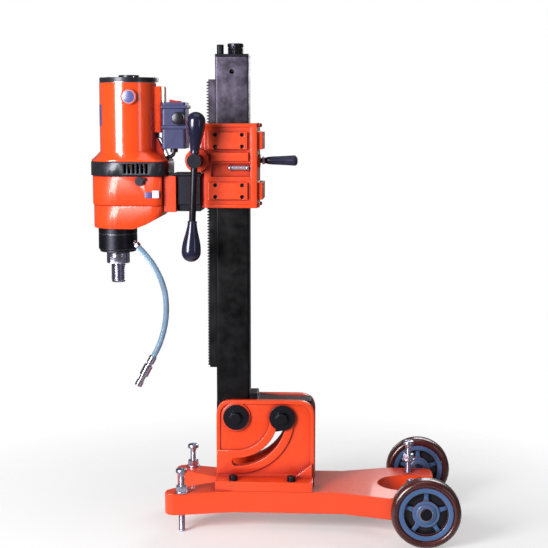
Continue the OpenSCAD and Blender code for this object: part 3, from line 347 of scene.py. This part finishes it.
def plate(loops, low, high, rounding=1.0, plane="XY"):
    """A flat outline, and any holes in it, given a thickness from low to high and rounded edges."""
    data = bpy.data.curves.new("outline", "CURVE")
    data.dimensions = "2D"
    data.fill_mode = "BOTH"
    for index, loop in enumerate(loops):
        if (signed_area(loop) > 0) != (index == 0):
            loop = loop[::-1]
        spline = data.splines.new("POLY")
        spline.points.add(len(loop) - 1)
        for point, (u, v) in zip(spline.points, loop):
            point.co = (u, v, 0, 1)
        spline.use_cyclic_u = True
    data.extrude = (high - low) / 2 - rounding
    data.bevel_depth = rounding
    data.bevel_resolution = 2
    data.offset = -rounding
    holder = bpy.data.objects.new("outline", data)
    bpy.context.scene.collection.objects.link(holder)
    made = bpy.data.meshes.new_from_object(holder.evaluated_get(bpy.context.evaluated_depsgraph_get()))
    bm = bmesh.new()
    bm.from_mesh(made)
    bpy.data.objects.remove(holder)
    bpy.data.meshes.remove(made)
    bpy.data.curves.remove(data)
    bmesh.ops.remove_doubles(bm, verts=bm.verts, dist=0.002)
    bmesh.ops.translate(bm, verts=bm.verts, vec=(0, 0, (low + high) / 2))
    return planed(bm, plane)


def block(x0, x1, y0, y1, z0, z1, corner=2.0, rounding=1.0):
    """A box with rounded edges, drawn in plan."""
    return plate([round_rect(x0, x1, y0, y1, corner, 4)], z0, z1, rounding)


def lathe(profile, centre=(0, 0), plane="XY", steps=64, wobble=None):
    """A turned solid: profile holds (radius, height) pairs; wobble(angle, height) scales it."""
    bm = bmesh.new()
    rings = []
    for r, h in profile:
        if r <= 0:
            rings.append([bm.verts.new((centre[0], centre[1], h))])
            continue
        ring = []
        for k in range(steps):
            a = 2 * math.pi * k / steps
            reach = r * (wobble(a, h) if wobble else 1.0)
            ring.append(bm.verts.new((centre[0] + reach * math.cos(a), centre[1] + reach * math.sin(a), h)))
        rings.append(ring)
    for a, b in zip(rings, rings[1:]):
        for k in range(steps):
            n = (k + 1) % steps
            corners = [a[k % len(a)], a[n % len(a)], b[n % len(b)], b[k % len(b)]]
            face = [v for i, v in enumerate(corners) if v not in corners[:i]]
            if len(face) > 2:
                bm.faces.new(face)
    for ring in (rings[0], rings[-1]):
        if len(ring) > 1:
            bm.faces.new(ring)
    return planed(bm, plane)


def hoop(profile, centre, plane="XY", steps=64):
    """A turned ring from a closed profile of (radius, height) pairs."""
    bm = lathe(list(profile) + [profile[0]], centre, plane, steps)
    bmesh.ops.delete(bm, geom=[f for f in bm.faces if len(f.verts) == steps], context="FACES_ONLY")
    bmesh.ops.remove_doubles(bm, verts=bm.verts, dist=0.001)
    return bm


def turned_ring(outer, bore, low, high, rounding, centre, plane="XY", steps=64):
    """A washer or tube with rounded rims."""
    r = rounding
    return hoop([(bore, low), (outer - r, low), (outer - r * 0.3, low + r * 0.3), (outer, low + r),
                 (outer, high - r), (outer - r * 0.3, high - r * 0.3), (outer - r, high), (bore, high)],
                centre, plane, steps)


def rod(radius, low, high, centre, plane="XY", rounding=0.8, steps=48):
    """A solid pin with rounded rims."""
    r = rounding
    return lathe([(0, low), (radius - r, low), (radius - r * 0.3, low + r * 0.3), (radius, low + r),
                  (radius, high - r), (radius - r * 0.3, high - r * 0.3), (radius - r, high), (0, high)],
                 centre, plane, steps)


def hexagon(across, low, high, centre, plane="XY", turn=0.0, rounding=0.8, bore=0.0):
    """A hexagon bar or nut with rounded edges."""
    r = across / math.sqrt(3)
    loop = [(centre[0] + r * math.cos(math.radians(turn + 60 * k)),
             centre[1] + r * math.sin(math.radians(turn + 60 * k))) for k in range(6)]
    return plate([loop, circle(*centre, bore)] if bore else [loop], low, high, rounding, plane)


def threaded(radius, pitch, low, high, centre, steps=32):
    """A screw thread from low to high: a helical ridge that fades at both ends."""
    depth = 0.55 * pitch
    per_turn = 6
    count = int((high - low) / pitch * per_turn)
    bm = bmesh.new()
    rings = []
    for i in range(count + 1):
        h = low + (high - low) * i / count
        fade = min(1.0, (h - low) / pitch, (high - h) / pitch)
        ring = []
        for k in range(steps):
            wave = abs(((h / pitch - k / steps) % 1.0) * 2 - 1)
            r = radius - depth * (wave * fade + (1 - fade))
            a = 2 * math.pi * k / steps
            ring.append(bm.verts.new((centre[0] + r * math.cos(a), centre[1] + r * math.sin(a), h)))
        rings.append(ring)
    for a, b in zip(rings, rings[1:]):
        for k in range(steps):
            n = (k + 1) % steps
            bm.faces.new((a[k], a[n], b[n], b[k]))
    bm.faces.new(rings[0])
    bm.faces.new(rings[-1])
    return bm


def cut(solid, cutters):
    """The solid with the cutters taken away."""
    whole = as_object("solid", [solid])
    tool = as_object("cutter", cutters)
    step = whole.modifiers.new("cut", "BOOLEAN")
    step.object = tool
    step.operation = "DIFFERENCE"
    step.solver = "EXACT"
    step.use_self = True
    made = bpy.data.meshes.new_from_object(whole.evaluated_get(bpy.context.evaluated_depsgraph_get()))
    bm = bmesh.new()
    bm.from_mesh(made)
    for spare in (whole, tool):
        bpy.data.objects.remove(spare)
    bpy.data.meshes.remove(made)
    return bm


def as_object(name, solids):
    """One mesh object from solids, with their normals facing out."""
    mesh = bpy.data.meshes.new(name)
    joined = bmesh.new()
    for solid in solids:
        bmesh.ops.recalc_face_normals(solid, faces=solid.faces)
        part = bpy.data.meshes.new("part")
        solid.to_mesh(part)
        solid.free()
        joined.from_mesh(part)
        bpy.data.meshes.remove(part)
    joined.to_mesh(mesh)
    joined.free()
    obj = bpy.data.objects.new(name, mesh)
    bpy.context.scene.collection.objects.link(obj)
    return obj


def body_of(node):
    return next(name for name, held in record["behaviour"]["bodies"].items() if node in held)


def piece(name, solids, node, stands_for=(), finish=None, angle=38.0):
    """A finished piece that rides with a node's body and takes its material slot."""
    obj = as_object(name, solids)
    obj.data.transform(Matrix.Translation((column_x, 0, 0)) @ Matrix.Scale(MM, 4))
    obj.data.polygons.foreach_set("use_smooth", [True] * len(obj.data.polygons))
    obj.data.set_sharp_from_angle(angle=math.radians(angle))
    obj.data.materials.append(finish or finishes[slot_of[node]])
    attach(obj, body_of(node))
    if stands_for:
        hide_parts(*stands_for)
    return obj


def softened(node, width, curved=False, limit=32.0):
    """Stands for a CAD node: the same shape with whole flat faces and rounded edges."""
    bm = bmesh.new()
    bm.from_mesh(nodes[node].data)
    bmesh.ops.remove_doubles(bm, verts=bm.verts, dist=1e-5)
    bmesh.ops.dissolve_limit(bm, angle_limit=math.radians(0.6), verts=bm.verts, edges=bm.edges)
    mesh = bpy.data.meshes.new(node + "_piece")
    bm.to_mesh(mesh)
    bm.free()
    obj = bpy.data.objects.new(node + "_piece", mesh)
    bpy.context.scene.collection.objects.link(obj)
    rim = obj.modifiers.new("rim", "BEVEL")
    rim.width = width * MM
    rim.segments = 2
    rim.limit_method = "ANGLE"
    rim.angle_limit = math.radians(limit)
    rim.use_clamp_overlap = False
    if curved:
        rim.harden_normals = True
    else:
        flat = obj.modifiers.new("flat", "WEIGHTED_NORMAL")
        flat.weight = 100
        flat.keep_sharp = False
    mesh.polygons.foreach_set("use_smooth", [True] * len(mesh.polygons))
    mesh.materials.append(finishes[slot_of[node]])
    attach(obj, body_of(node))
    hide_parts(node)
    return obj


# ---------- Water hose ----------
carriage_mid = middle("carriage")[2]
hose_points = [(-201, -16, -172), (-192, -17, -181), (-183, -18, -191), (-174, -20, -202),
               (-166, -21, -214), (-159, -22, -226), (-153, -23, -239), (-148, -24, -253), (-144, -25, -267),
               (-142, -26, -281), (-141, -27, -295), (-141, -28, -309), (-142, -28, -323), (-144, -29, -337),
               (-147, -29, -351), (-151, -30, -365), (-156, -30, -379), (-162, -30, -392), (-169, -30, -405)]
hose_diameter = 0.012


def make_hose():
    """The clear hose from the inlet on the drill's neck down to its coupler."""
    route = [Vector(to_row(x, y, carriage_mid + z)) for x, y, z in hose_points]
    data = bpy.data.curves.new("water_hose_piece", "CURVE")
    data.dimensions = "3D"
    spline = data.splines.new("POLY")
    spline.points.add(len(route) - 1)
    for point, at in zip(spline.points, route):
        point.co = (*at, 1.0)
    data.bevel_depth = hose_diameter / 2
    data.bevel_resolution = 8
    data.use_fill_caps = True
    hose = bpy.data.objects.new("water_hose_piece", data)
    bpy.context.scene.collection.objects.link(hose)
    data.materials.append(finishes["hose_pvc"])
    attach(hose, "carriage")
    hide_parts("water_hose")
    return hose, route


hose, hose_route = make_hose()


# ---------- Base ----------
softened("base_casting", 1.8)
softened("cheek_screws", 0.7)
base_high = box_mm("base_casting")[1].z


def make_level_nuts():
    """The flange nuts that the front screws turn in."""
    low, high = box_mm("level_nuts")
    x = (low.x + high.x) / 2
    solids = []
    for y in (low.y + 14, high.y - 14):
        solids += [turned_ring(14, 7.6, low.z, low.z + 4, 0.7, (x, y)),
                   hexagon(22, low.z + 3.6, high.z, (x, y), turn=30, rounding=0.5, bore=7.2)]
    piece("level_nuts_piece", solids, "level_nuts", ["level_nuts"])


make_level_nuts()


def make_level_screw(node):
    """A levelling screw: rolled thread, round head with a round socket, and its nut if it has one."""
    low, high = box_mm(node)
    x, y = (low.x + high.x) / 2, (low.y + high.y) / 2
    head = high.z - 9
    solids = [
        threaded(6.8, 2.0, 2, head - 6, (x, y)),
        rod(6.7, head - 7, head + 1, (x, y)),
        lathe([(0, 0), (4.5, 0), (5.6, 2.2), (0, 2.2)], (x, y)),
        hoop([(12, head + 1), (12, head + 6.4), (11.4, head + 7.6), (8.6, head + 9), (5.4, head + 9),
              (5.2, head + 4),
              (0.1, head + 4), (0.1, head), (11.2, head)], (x, y), steps=48),
    ]
    if high.x - low.x > 25:
        nut = base_high + 26
        solids += [turned_ring(14, 6.6, nut, nut + 4, 0.7, (x, y)),
                   hexagon(22, nut + 4, nut + 15, (x, y), turn=30)]
    piece(node + "_piece", solids, node, [node])


for corner in ("front_near", "front_far", "rear_near", "rear_far"):
    make_level_screw("level_screw_" + corner)


# ---------- Wheels ----------
def make_wheel(side):
    """A solid tyre with ribbed shoulders on a spoked wheel centre."""
    name = "near" if side < 0 else "far"
    hub = middle(name + "_tyre")
    at, y = (hub.x, hub.z), hub.y
    out = [(56, -15), (58, -18), (60, -19), (62.2, -19), (62.8, -18.2), (63.4, -19), (65.6, -18.4),
           (68.4, -15.6),
           (70.3, -12), (71, -8.4), (71, -4.6), (70.2, -4.2), (70.2, -3.4), (71, -3), (71, 3), (70.2, 3.4),
           (70.2, 4.2), (71, 4.6), (71, 8.4), (70.3, 12), (68.4, 15.6), (65.6, 18.4), (63.4, 19),
           (62.8, 18.2),
           (62.2, 19), (60, 19), (58, 18), (56, 15)]
    piece(name + "_tyre_piece", [hoop([(r, y + h) for r, h in out], at, "XZ", 120)], name + "_tyre",
          [name + "_tyre"])
    rim = [(45, -15), (46, -15.6), (54.5, -15.6), (55.6, -14.6), (55.6, 14.6), (54.5, 15.6), (46, 15.6),
           (45, 15),
           (49, 6), (49, -6)]
    boss = [(14, -14.6), (18.6, -14.6), (20, -13.6), (20, -12), (26.6, -12), (27.5, -11), (27.5, 11),
            (26.6, 12),
            (20, 12), (20, 13.6), (18.6, 14.6), (14, 14.6)]
    solids = [hoop([(r, y + h) for r, h in rim], at, "XZ", 96),
              hoop([(r, y + h) for r, h in boss], at, "XZ", 64),
              turned_ring(46, 43.6, y - 8, y + 8, 0.8, at, "XZ", 96)]
    for k in range(5):
        a = math.radians(90 + 72 * k)
        along, across = Vector((math.cos(a), math.sin(a))), Vector((-math.sin(a), math.cos(a)))
        outline = [(24, -7), (36, -4.4), (51, -6.4), (51, 6.4), (36, 4.4), (24, 7)]
        loop = [tuple(Vector(at) + along * u + across * v) for u, v in outline]
        solids.append(plate([filleted(loop, [0, 20, 0, 0, 20, 0])], y - 9, y + 9, 1.8, "XZ"))
    piece(name + "_hub_piece", solids, name + "_hub", [name + "_hub"])
    # Painted shade: a black disc between the spokes, standing for the shade in the hub's recesses.
    piece(name + "_hub_painted_shade_disc", [turned_ring(51, 20, y - 2, y + 2, 0.5, at, "XZ", 96)], name + "_hub",
          finish=finishes["black_plastic"])


make_wheel(-1)
make_wheel(1)
softened("wheel_axle", 0.8)

# ---------- Tilt bracket and column ----------


def band(centre, r, half, start, end):
    """A band of even width along an arc, with round ends."""
    u, v = centre
    tip = (u + r * math.cos(math.radians(end)), v + r * math.sin(math.radians(end)))
    root = (u + r * math.cos(math.radians(start)), v + r * math.sin(math.radians(start)))
    return (arc(u, v, r + half, start, end, 40) + arc(*tip, half, end, end + 180, 16)[1:-1]
            + arc(u, v, r - half, end, start, 40) + arc(*root, half, start + 180, start + 360, 16)[1:-1])


def make_cheek(node, side):
    """A cast cheek: bordered plate, ring round the pivot, band along the slot, flange and gusset."""
    low, high = box_mm(node)
    bolt = middle("pivot_bolt")
    u, v = bolt.x, bolt.z
    face, proud, inside = 41, 45, 27
    foot = low.z

    def layer(loops, near, far, rounding=1.2):
        return plate(loops, min(side * near, side * far), max(side * near, side * far), rounding, "XZ")

    outline = filleted([(low.x, foot), (high.x, foot), (high.x, high.z), (low.x, high.z)], [0, 0, 34, 34], 12)
    window = filleted([(low.x + 8, foot + 26), (high.x - 8, foot + 26), (high.x - 8, high.z - 8),
                       (low.x + 8, high.z - 8)], [4, 4, 28, 28], 12)
    slot = band((u, v), 98, 8.8, -90, 0)
    hole = circle(u, v, 8.1)
    rib = arc(u, v, 123.8, -90, 0, 40) + arc(u + 98, v, 25.8, 0, 180, 24)[1:-1] + arc(u, v, 72.2, 0, -90, 40)
    rib += [(low.x + 1, v - 72.2), (low.x + 1, v - 123.8)]
    ring = turned_ring(31, 8.1, min(side * (face - 2), side * proud), max(side * (face - 2), side * proud),
                       1.2,
                       (u, v), "XZ", 96)
    flange = [(side * 39, foot + 0.2), (side * 83, foot + 0.2), (side * 83, foot + 20),
              (side * 40, foot + 22.5)]
    gusset = filleted([(high.x - 44, foot + 19), (high.x - 4, foot + 19), (high.x - 4, foot + 52)], [1, 2, 1])
    solids = [layer([outline, slot, hole], inside, face, 1.5),
              layer([outline, window], face - 2, face + 2.4, 1.0),
              layer([rib, slot], face - 2, proud, 1.4), ring,
              plate([flange], low.x + 0.2, high.x - 2, 1.6, "YZ"),
              layer([gusset], face - 2, face + 11, 1.2)]
    piece(node + "_piece", solids, node, [node])


make_cheek("near_cheek", -1)
make_cheek("far_cheek", 1)
for node in ("pivot_bolt", "lock_bolt"):
    softened(node, 0.8)
softened("column_foot", 1.5)
softened("rack", 0.25)
softened("column_cap", 1.2)
softened("brace_bolt", 0.7)


def make_column():
    """The square tube with the rolled corners of its wall, and the bolt hole near its top."""
    low, high = box_mm("column_tube")
    outer = round_rect(low.x, high.x, low.y, high.y, 5, 8)
    inner = round_rect(low.x + 5, high.x - 5, low.y + 5, high.y - 5, 2.5, 6)
    tube = plate([outer, inner], low.z, high.z, 0.6)
    hole = rod(5, low.y - 5, low.y + 6.5, (0, high.z - 30), "XZ", 0.3)
    piece("column_tube_piece", [cut(tube, [hole])], "column_tube", ["column_tube"])
    low, high = box_mm("jack_screw")
    x = (low.x + high.x) / 2
    screw = [threaded(16.9, 3.0, low.z + 1, high.z - 7, (x, 0), 48),
             hoop([(8.4, high.z - 9), (8.4, high.z - 0.8), (9.2, high.z), (15.6, high.z),
                   (16.9, high.z - 1.4),
                   (16.9, high.z - 6), (15.2, high.z - 8)], (x, 0))]
    piece("jack_screw_piece", screw, "jack_screw", ["jack_screw"])


make_column()

# ---------- Carriage ----------
softened("carriage", 1.2)
softened("pad_screws", 0.4)
softened("pinion_shaft", 0.4)


def make_carriage_rims():
    """Raised rims round the top and bottom of the carriage casting, and a rounded rib down its wheel side."""
    low, high = box_mm("carriage")
    solids = []
    for z0, z1 in ((low.z + 0.3, low.z + 8), (high.z - 8, high.z - 0.3)):
        outer = round_rect(-56.6, 54.8, -44.8, 44.8, 4)
        inner = round_rect(-39, 39, -29, 29, 2)
        solids.append(plate([outer, inner], z0, z1, 1.1))
    for y in (-44.0, 44.0):
        solids.append(block(40, 53.8, y - 1.6, y + 1.6, low.z + 6, high.z - 6, 1.5, 1.2))
    piece("carriage_rims", solids, "carriage")


make_carriage_rims()


def make_feed_handle():
    """The bar through the pinion's hub, and two smooth moulded grips with ribbed collars."""
    housing_r, bar_y = 24.3, -97.0
    at = Vector((box_mm("carriage")[0].x + housing_r, bar_y, middle("pinion_shaft").z))
    lean = Matrix.Translation(at) @ Matrix.Rotation(math.radians(2.5), 4, "Y")

    def placed(bm):
        bmesh.ops.transform(bm, matrix=lean, verts=bm.verts)
        return bm

    piece("feed_bar_piece", [placed(rod(6.95, -186, 79, (0, 0), rounding=0.6))], "feed_bar", ["feed_bar"])
    outline = [(6.9, 0), (9, 0), (9.8, 0.8), (9.8, 2.6), (9.3, 3.2), (9.3, 4.4)]
    outline += [(9.5 + 10.3 * math.sin(math.radians(90 * k / 14)) ** 1.6,
                 4.6 + 58.8 * k / 14) for k in range(1, 15)]
    outline += [(19.8 * math.cos(math.radians(a)), 64 + 19.8 * math.sin(math.radians(a))) for a in range(8,
                                                                                                         90,
                                                                                                         8)]
    outline += [(0, 83.8)]
    upper = lathe([(0, 0)] + [(r, h) for r, h in outline], (0, 0), steps=64)
    bmesh.ops.translate(upper, verts=upper.verts, vec=(0, 0, 15.5))
    lower = lathe([(0, 0)] + [(r, -h) for r, h in outline], (0, 0), steps=64)
    bmesh.ops.translate(lower, verts=lower.verts, vec=(0, 0, 15.5 - 138))
    piece("feed_grips_piece", [placed(upper), placed(lower)], "feed_grips", ["feed_grips"])


make_feed_handle()


def make_lock_handle():
    """The carriage lock: a stud, a bright ring and a tapered handle along the column's wheel side."""
    low, high = box_mm("lock_handle")
    x, y, z = high.x - 78, (low.y + high.y) / 2, (low.z + high.z) / 2
    profile = [(0, 0), (5.3, 0), (5.3, 3.6), (7, 3.6), (8, 4.4), (8, 8.4), (7.2, 9), (6, 10), (7.6, 15),
               (8.6, 24),
               (9.0, 34), (9.4, 44), (9.9, 54), (10.4, 63), (10.8, 68), (11, 71), (10.5, 74.2), (8.6, 76.6),
               (5.6, 77.7), (0, 78)]
    handle = lathe([(r, x + h) for r, h in profile], (y, z), "YZ", 48)
    stud = rod(5.9, low.x, x + 1, (y, z), "YZ")
    piece("lock_handle_piece", [handle, stud], "lock_handle", ["lock_handle"], navy_steel)
    piece("lock_ring", [turned_ring(8.2, 5.4, x + 4.2, x + 8.6, 0.6, (y, z), "YZ")], "lock_handle",
          finish=finishes["bright_steel"])


make_lock_handle()


def make_vial():
    """A glass vial between two steel end caps, with two thin steel rings round its middle."""
    low, high = box_mm("spirit_vial")
    y, z = (low.y + high.y) / 2, (low.z + high.z) / 2
    piece("spirit_vial_piece", [rod(3.9, low.x + 2, high.x - 2, (y, z), "YZ")], "spirit_vial",
          ["spirit_vial"])
    ends = [rod(5, low.x, low.x + 6, (y, z), "YZ"), rod(5, high.x - 6, high.x, (y, z), "YZ"),
            turned_ring(4.15, 3.6, (low.x + high.x) / 2 - 5, (low.x + high.x) / 2 - 4, 0.1, (y, z), "YZ"),
            turned_ring(4.15, 3.6, (low.x + high.x) / 2 + 4, (low.x + high.x) / 2 + 5, 0.1, (y, z), "YZ")]
    piece("vial_caps", ends, "spirit_vial", finish=finishes["bright_steel"])


make_vial()

# ---------- Drill ----------
softened("motor_spacer", 1.2)
softened("mount_plate", 1.5)
softened("vent_band", 1.2, True)
softened("gearbox_case", 1.6, True)
softened("gearbox_nose", 1.6, True)
softened("gear_knob", 0.6)
softened("water_inlet", 0.4)
softened("hose_coupler", 0.6)
softened("switch_box", 1.0)
softened("power_switch", 0.8)
softened("motor_cap", 0.8)
barrel_r = 62.4
cap_rim_r, cap_high = 62.0, 15.5
motor_x = box_mm("motor_cap")[0].x + cap_rim_r
band_top = box_mm("vent_band")[1].z
cap_z = box_mm("motor_cap")[1].z - cap_high
badge_at = (motor_x + 9, cap_z - 30)


def drill_outline(inset):
    """Plan of the vent band and the gearbox."""
    front, back, half = -301 + inset, -130.5 - inset, 68 - inset
    loop = arc(front + half, 0, half, 90, 270, 40)
    loop += arc(back - 30, -half + 30, 30, -90, 0, 10)
    loop += arc(back - 30, half - 30, 30, 0, 90, 10)
    return loop


def polar(loop, centre, angles):
    """Distance from the centre to a convex outline in each direction."""
    reach = []
    for a in angles:
        d = Vector((math.cos(a), math.sin(a)))
        best = 0.0
        for p, q in zip(loop, loop[1:] + loop[:1]):
            p, q = Vector(p) - Vector(centre), Vector(q) - Vector(centre)
            edge = q - p
            bottom = d.x * edge.y - d.y * edge.x
            if abs(bottom) < 1e-9:
                continue
            t = (p.x * edge.y - p.y * edge.x) / bottom
            s = (p.x * d.y - p.y * d.x) / bottom
            if -1e-6 <= s <= 1 + 1e-6:
                best = max(best, t)
        reach.append(best)
    return reach


def make_motor_housing():
    """The moulded motor barrel, which spreads out to the vent band, with its side box and badge boss."""
    count = 128
    angles = [2 * math.pi * k / count for k in range(count)]
    plan = polar(drill_outline(1.2), (motor_x, 0), angles)
    rows = [(band_top + 0.1, 0.0, -1.2), (band_top + 0.6, 0.0, -0.3), (band_top + 1.4, 0.0, 0.0),
            (band_top + 3.2, 0.0, 0.0), (band_top + 5, 0.1, 0.0)]
    rows += [(band_top + 5 + 16 * t / 8, 0.1 + 0.9 * (t / 8) ** 0.85, 0.0) for t in range(1, 9)]
    rows += [(band_top + 24, 1.0, 0.0), (cap_z - 3, 1.0, 0.0), (cap_z - 1.6, 1.0, -0.2),
             (cap_z - 0.5, 1.0, -0.9)]
    bm = bmesh.new()
    rings = []
    for z, t, grow in rows:
        ring = []
        for a, wide in zip(angles, plan):
            r = wide + (barrel_r - wide) * t + grow
            ring.append(bm.verts.new((motor_x + r * math.cos(a), r * math.sin(a), z)))
        rings.append(ring)
    for low, high in zip(rings, rings[1:]):
        for k in range(count):
            n = (k + 1) % count
            bm.faces.new((low[k], low[n], high[n], high[k]))
    bm.faces.new(rings[0])
    bm.faces.new(rings[-1])
    wedge = filleted([(motor_x + 44, band_top + 0.5), (motor_x + 81, band_top + 0.5),
                      (motor_x + 81, band_top + 4),
                      (motor_x + 62.5, band_top + 50), (motor_x + 44, band_top + 50)], [0, 1, 3, 6, 0])
    solids = [bm, block(motor_x + 40, motor_x + 72.4, -26, 44, band_top + 60, cap_z - 8, 5, 2.5),
              plate([wedge], -20, 40, 2.5, "XZ"),
              hoop([(14.4, -60), (14.4, -63.4), (15, -64), (16, -64), (16.5, -63.4), (16.5, -54)],
                   badge_at, "XZ")]
    piece("motor_housing_piece", solids, "motor_housing", ["motor_housing"])


make_motor_housing()


def make_cap_screws():
    """Small bright screws under the cap's rim, and the seam between the cap and the barrel."""
    solids = []
    for degrees in (-160, -128, -70, -20, 40, 110):
        a = math.radians(degrees)
        x, y = motor_x + 58.6 * math.cos(a), 58.6 * math.sin(a)
        solids.append(rod(2.4, cap_z + 9.2, cap_z + 11.2, (x, y), rounding=0.5, steps=20))
    piece("cap_screws", solids, "motor_cap", finish=finishes["bright_steel"])
    piece("cap_seam", [turned_ring(cap_rim_r, 58, cap_z - 1.0, cap_z + 0.5, 0.2, (motor_x, 0), steps=96)],
          "motor_cap",
          finish=finishes["chrome"])


make_cap_screws()


def make_neck():
    """The turned neck with a shoulder, a groove and a chamfered end."""
    low, high = box_mm("neck")
    x = (low.x + high.x) / 2
    profile = [(19, low.z), (36.6, low.z), (38.2, low.z + 1), (38.2, low.z + 4), (39.6, low.z + 5),
               (41, low.z + 6.4),
               (41, high.z - 15), (40.2, high.z - 14.6), (40.2, high.z - 13.4), (41, high.z - 13),
               (41, high.z),
               (19, high.z)]
    piece("neck_piece", [hoop(profile, (x, 0), steps=120)], "neck", ["neck"])


make_neck()


def make_spindle():
    """The spindle: a collar with two spanner flats over the threaded nose that holds the bit."""
    low, high = box_mm("spindle")
    x = box_mm("neck")[0].x + 41
    top = low.z + 65
    collar = [(5, low.z + 41), (23.4, low.z + 41), (24.4, low.z + 42), (24.4, top - 2.2), (23.6, top - 1.4),
              (15, top - 1.2), (15, top + 12), (5, top + 12)]
    body = cut(hoop(collar, (x, 0), steps=96), [block(x - 30, x + 30, 20.5, 30, low.z + 40, low.z + 55, 1,
                                                      0.5),
                                                block(x - 30, x + 30, -30, -20.5, low.z + 40, low.z + 55, 1,
                                                      0.5)])
    nose = threaded(15.8, 3.6, low.z + 1, low.z + 40, (x, 0), 64)
    core = rod(14.2, low.z, low.z + 42, (x, 0), rounding=1.5)
    piece("spindle_piece", [body, cut_bore(nose, core, x, low.z)], "spindle", ["spindle"])


def cut_bore(nose, core, x, low):
    """The thread and its core with the water way drilled up through them."""
    bore = rod(5, low - 2, low + 36, (x, 0), rounding=0.2)
    whole = as_object("nose", [nose, core])
    bm = bmesh.new()
    bm.from_mesh(whole.data)
    bpy.data.objects.remove(whole)
    return cut(bm, [bore])


make_spindle()


def make_dial():
    """The speed dial: a fluted knob with a pointer."""
    low, high = box_mm("speed_dial")
    x, z = (low.x + high.x) / 2, (low.z + high.z) / 2

    def flutes(a, h):
        return 1 - 0.02 * (0.5 + 0.5 * math.cos(24 * a))

    knob = lathe([(0, low.y + 1), (11.4, low.y + 1), (12.6, low.y + 1.8), (13.4, low.y + 3),
                  (13.4, low.y + 9.4),
                  (0, low.y + 9.4)], (x, z), "XZ", 144, flutes)
    pointer = block(x - 1.2, x + 1.2, low.y, low.y + 2, z + 2, z + 12, 1, 0.4)
    piece("speed_dial_piece", [knob, pointer], "speed_dial", ["speed_dial"])


make_dial()


def make_plates():
    """Blank plates: the round badge with its ring, two on the gearbox, one round the barrel's left."""
    piece("badge", [rod(12.4, -63.6, -62.4, badge_at, "XZ", 0.3, 64)], "name_plates", ["name_plates"])
    piece("badge_ring", [turned_ring(14, 12.2, -63.7, -62.4, 0.3, badge_at, "XZ")], "name_plates",
          finish=label_pale)
    case_mid = middle("carriage").z
    low, high = case_mid - 66, case_mid - 50
    piece("gear_plate", [plate([round_rect(-162, -148, low, high, 1.5)], -66.1, -65.0, 0.3, "XZ")],
          "name_plates", finish=label_white)
    piece("speed_plate", [plate([round_rect(-178, -163, low, high - 4, 1.5)], -66.1, -65.0, 0.3, "XZ")],
          "name_plates")
    strip = bmesh.new()
    rows = []
    for height in (band_top + 74, band_top + 118):
        rows.append([strip.verts.new((motor_x + 62.9 * math.cos(a), 62.9 * math.sin(a), height))
                     for a in [math.radians(-170 + 22 * k / 16) for k in range(17)]])
    for k in range(16):
        strip.faces.new((rows[0][k], rows[0][k + 1], rows[1][k + 1], rows[1][k]))
    piece("barrel_plate", [strip], "name_plates")


make_plates()

# ---------- Everything else keeps its CAD shape ----------
for node, obj in nodes.items():
    obj.data.materials.clear()
    obj.data.materials.append(finishes[slot_of[node]])


# ---------- Studio ----------
def make_floor():
    """A pale floor that fades out towards its edge."""
    bm = bmesh.new()
    bmesh.ops.create_circle(bm, cap_ends=True, radius=3.0, segments=96)
    mesh = bpy.data.meshes.new("floor")
    bm.to_mesh(mesh)
    bm.free()
    floor = bpy.data.objects.new("floor", mesh)
    bpy.context.scene.collection.objects.link(floor)
    f = Finish("studio_floor", Roughness=0.7, Specular_IOR_Level=0.2)
    speckle = f.ramp(f.noise(3.0), 0.3, 0.7)
    f.set("Base Color", f.mix(speckle, (0.93, 0.93, 0.94), (0.95, 0.95, 0.955)))
    f.bump(f.noise(120.0), 0.03, 0.0005)
    middle_out = f.tree.nodes.new("ShaderNodeVectorMath")
    middle_out.operation = "LENGTH"
    f.tree.links.new(f.place, middle_out.inputs[0])
    f.set("Alpha", f.ramp(middle_out.outputs["Value"], 0.25, 0.95, 0.75, 0.0))
    mesh.materials.append(f.material)


def softbox(name, at, target, width, height, power, colour=(1.0, 1.0, 1.0)):
    data = bpy.data.lights.new(name, "AREA")
    data.shape = "RECTANGLE"
    data.size, data.size_y = width, height
    data.energy = power
    data.color = colour
    lamp = bpy.data.objects.new(name, data)
    bpy.context.scene.collection.objects.link(lamp)
    look = (Vector(target) - Vector(at)).to_track_quat("-Z", "Y")
    lamp.matrix_world = Matrix.Translation(at) @ look.to_matrix().to_4x4()


def make_light():
    softbox("key", (-1.5, -1.9, 1.15), (-0.1, 0.0, 0.5), 1.0, 1.5, 94)
    softbox("fill", (1.9, -1.9, 0.9), (0.0, 0.0, 0.5), 0.5, 1.3, 4, (0.9, 0.92, 1.0))
    softbox("top", (0.1, -0.3, 2.6), (0.0, 0.0, 0.4), 1.6, 1.2, 5)
    softbox("rear", (0.9, 2.4, 1.7), (0.0, 0.0, 0.5), 1.6, 1.6, 30)
    world = bpy.data.worlds.new("studio")
    bpy.context.scene.world = world
    world.use_nodes = True
    tree = world.node_tree
    dim = tree.nodes["Background"]
    dim.inputs["Color"].default_value = (1.0, 0.97, 0.97, 1.0)
    dim.inputs["Strength"].default_value = 0.13
    white = tree.nodes.new("ShaderNodeBackground")
    white.inputs["Color"].default_value = (1.0, 1.0, 1.0, 1.0)
    white.inputs["Strength"].default_value = 1.0
    path = tree.nodes.new("ShaderNodeLightPath")
    blend = tree.nodes.new("ShaderNodeMixShader")
    tree.links.new(path.outputs["Is Camera Ray"], blend.inputs[0])
    tree.links.new(dim.outputs[0], blend.inputs[1])
    tree.links.new(white.outputs[0], blend.inputs[2])
    tree.links.new(blend.outputs[0], tree.nodes["World Output"].inputs["Surface"])
    bpy.context.scene.view_settings.view_transform = "Standard"


make_floor()
make_light()
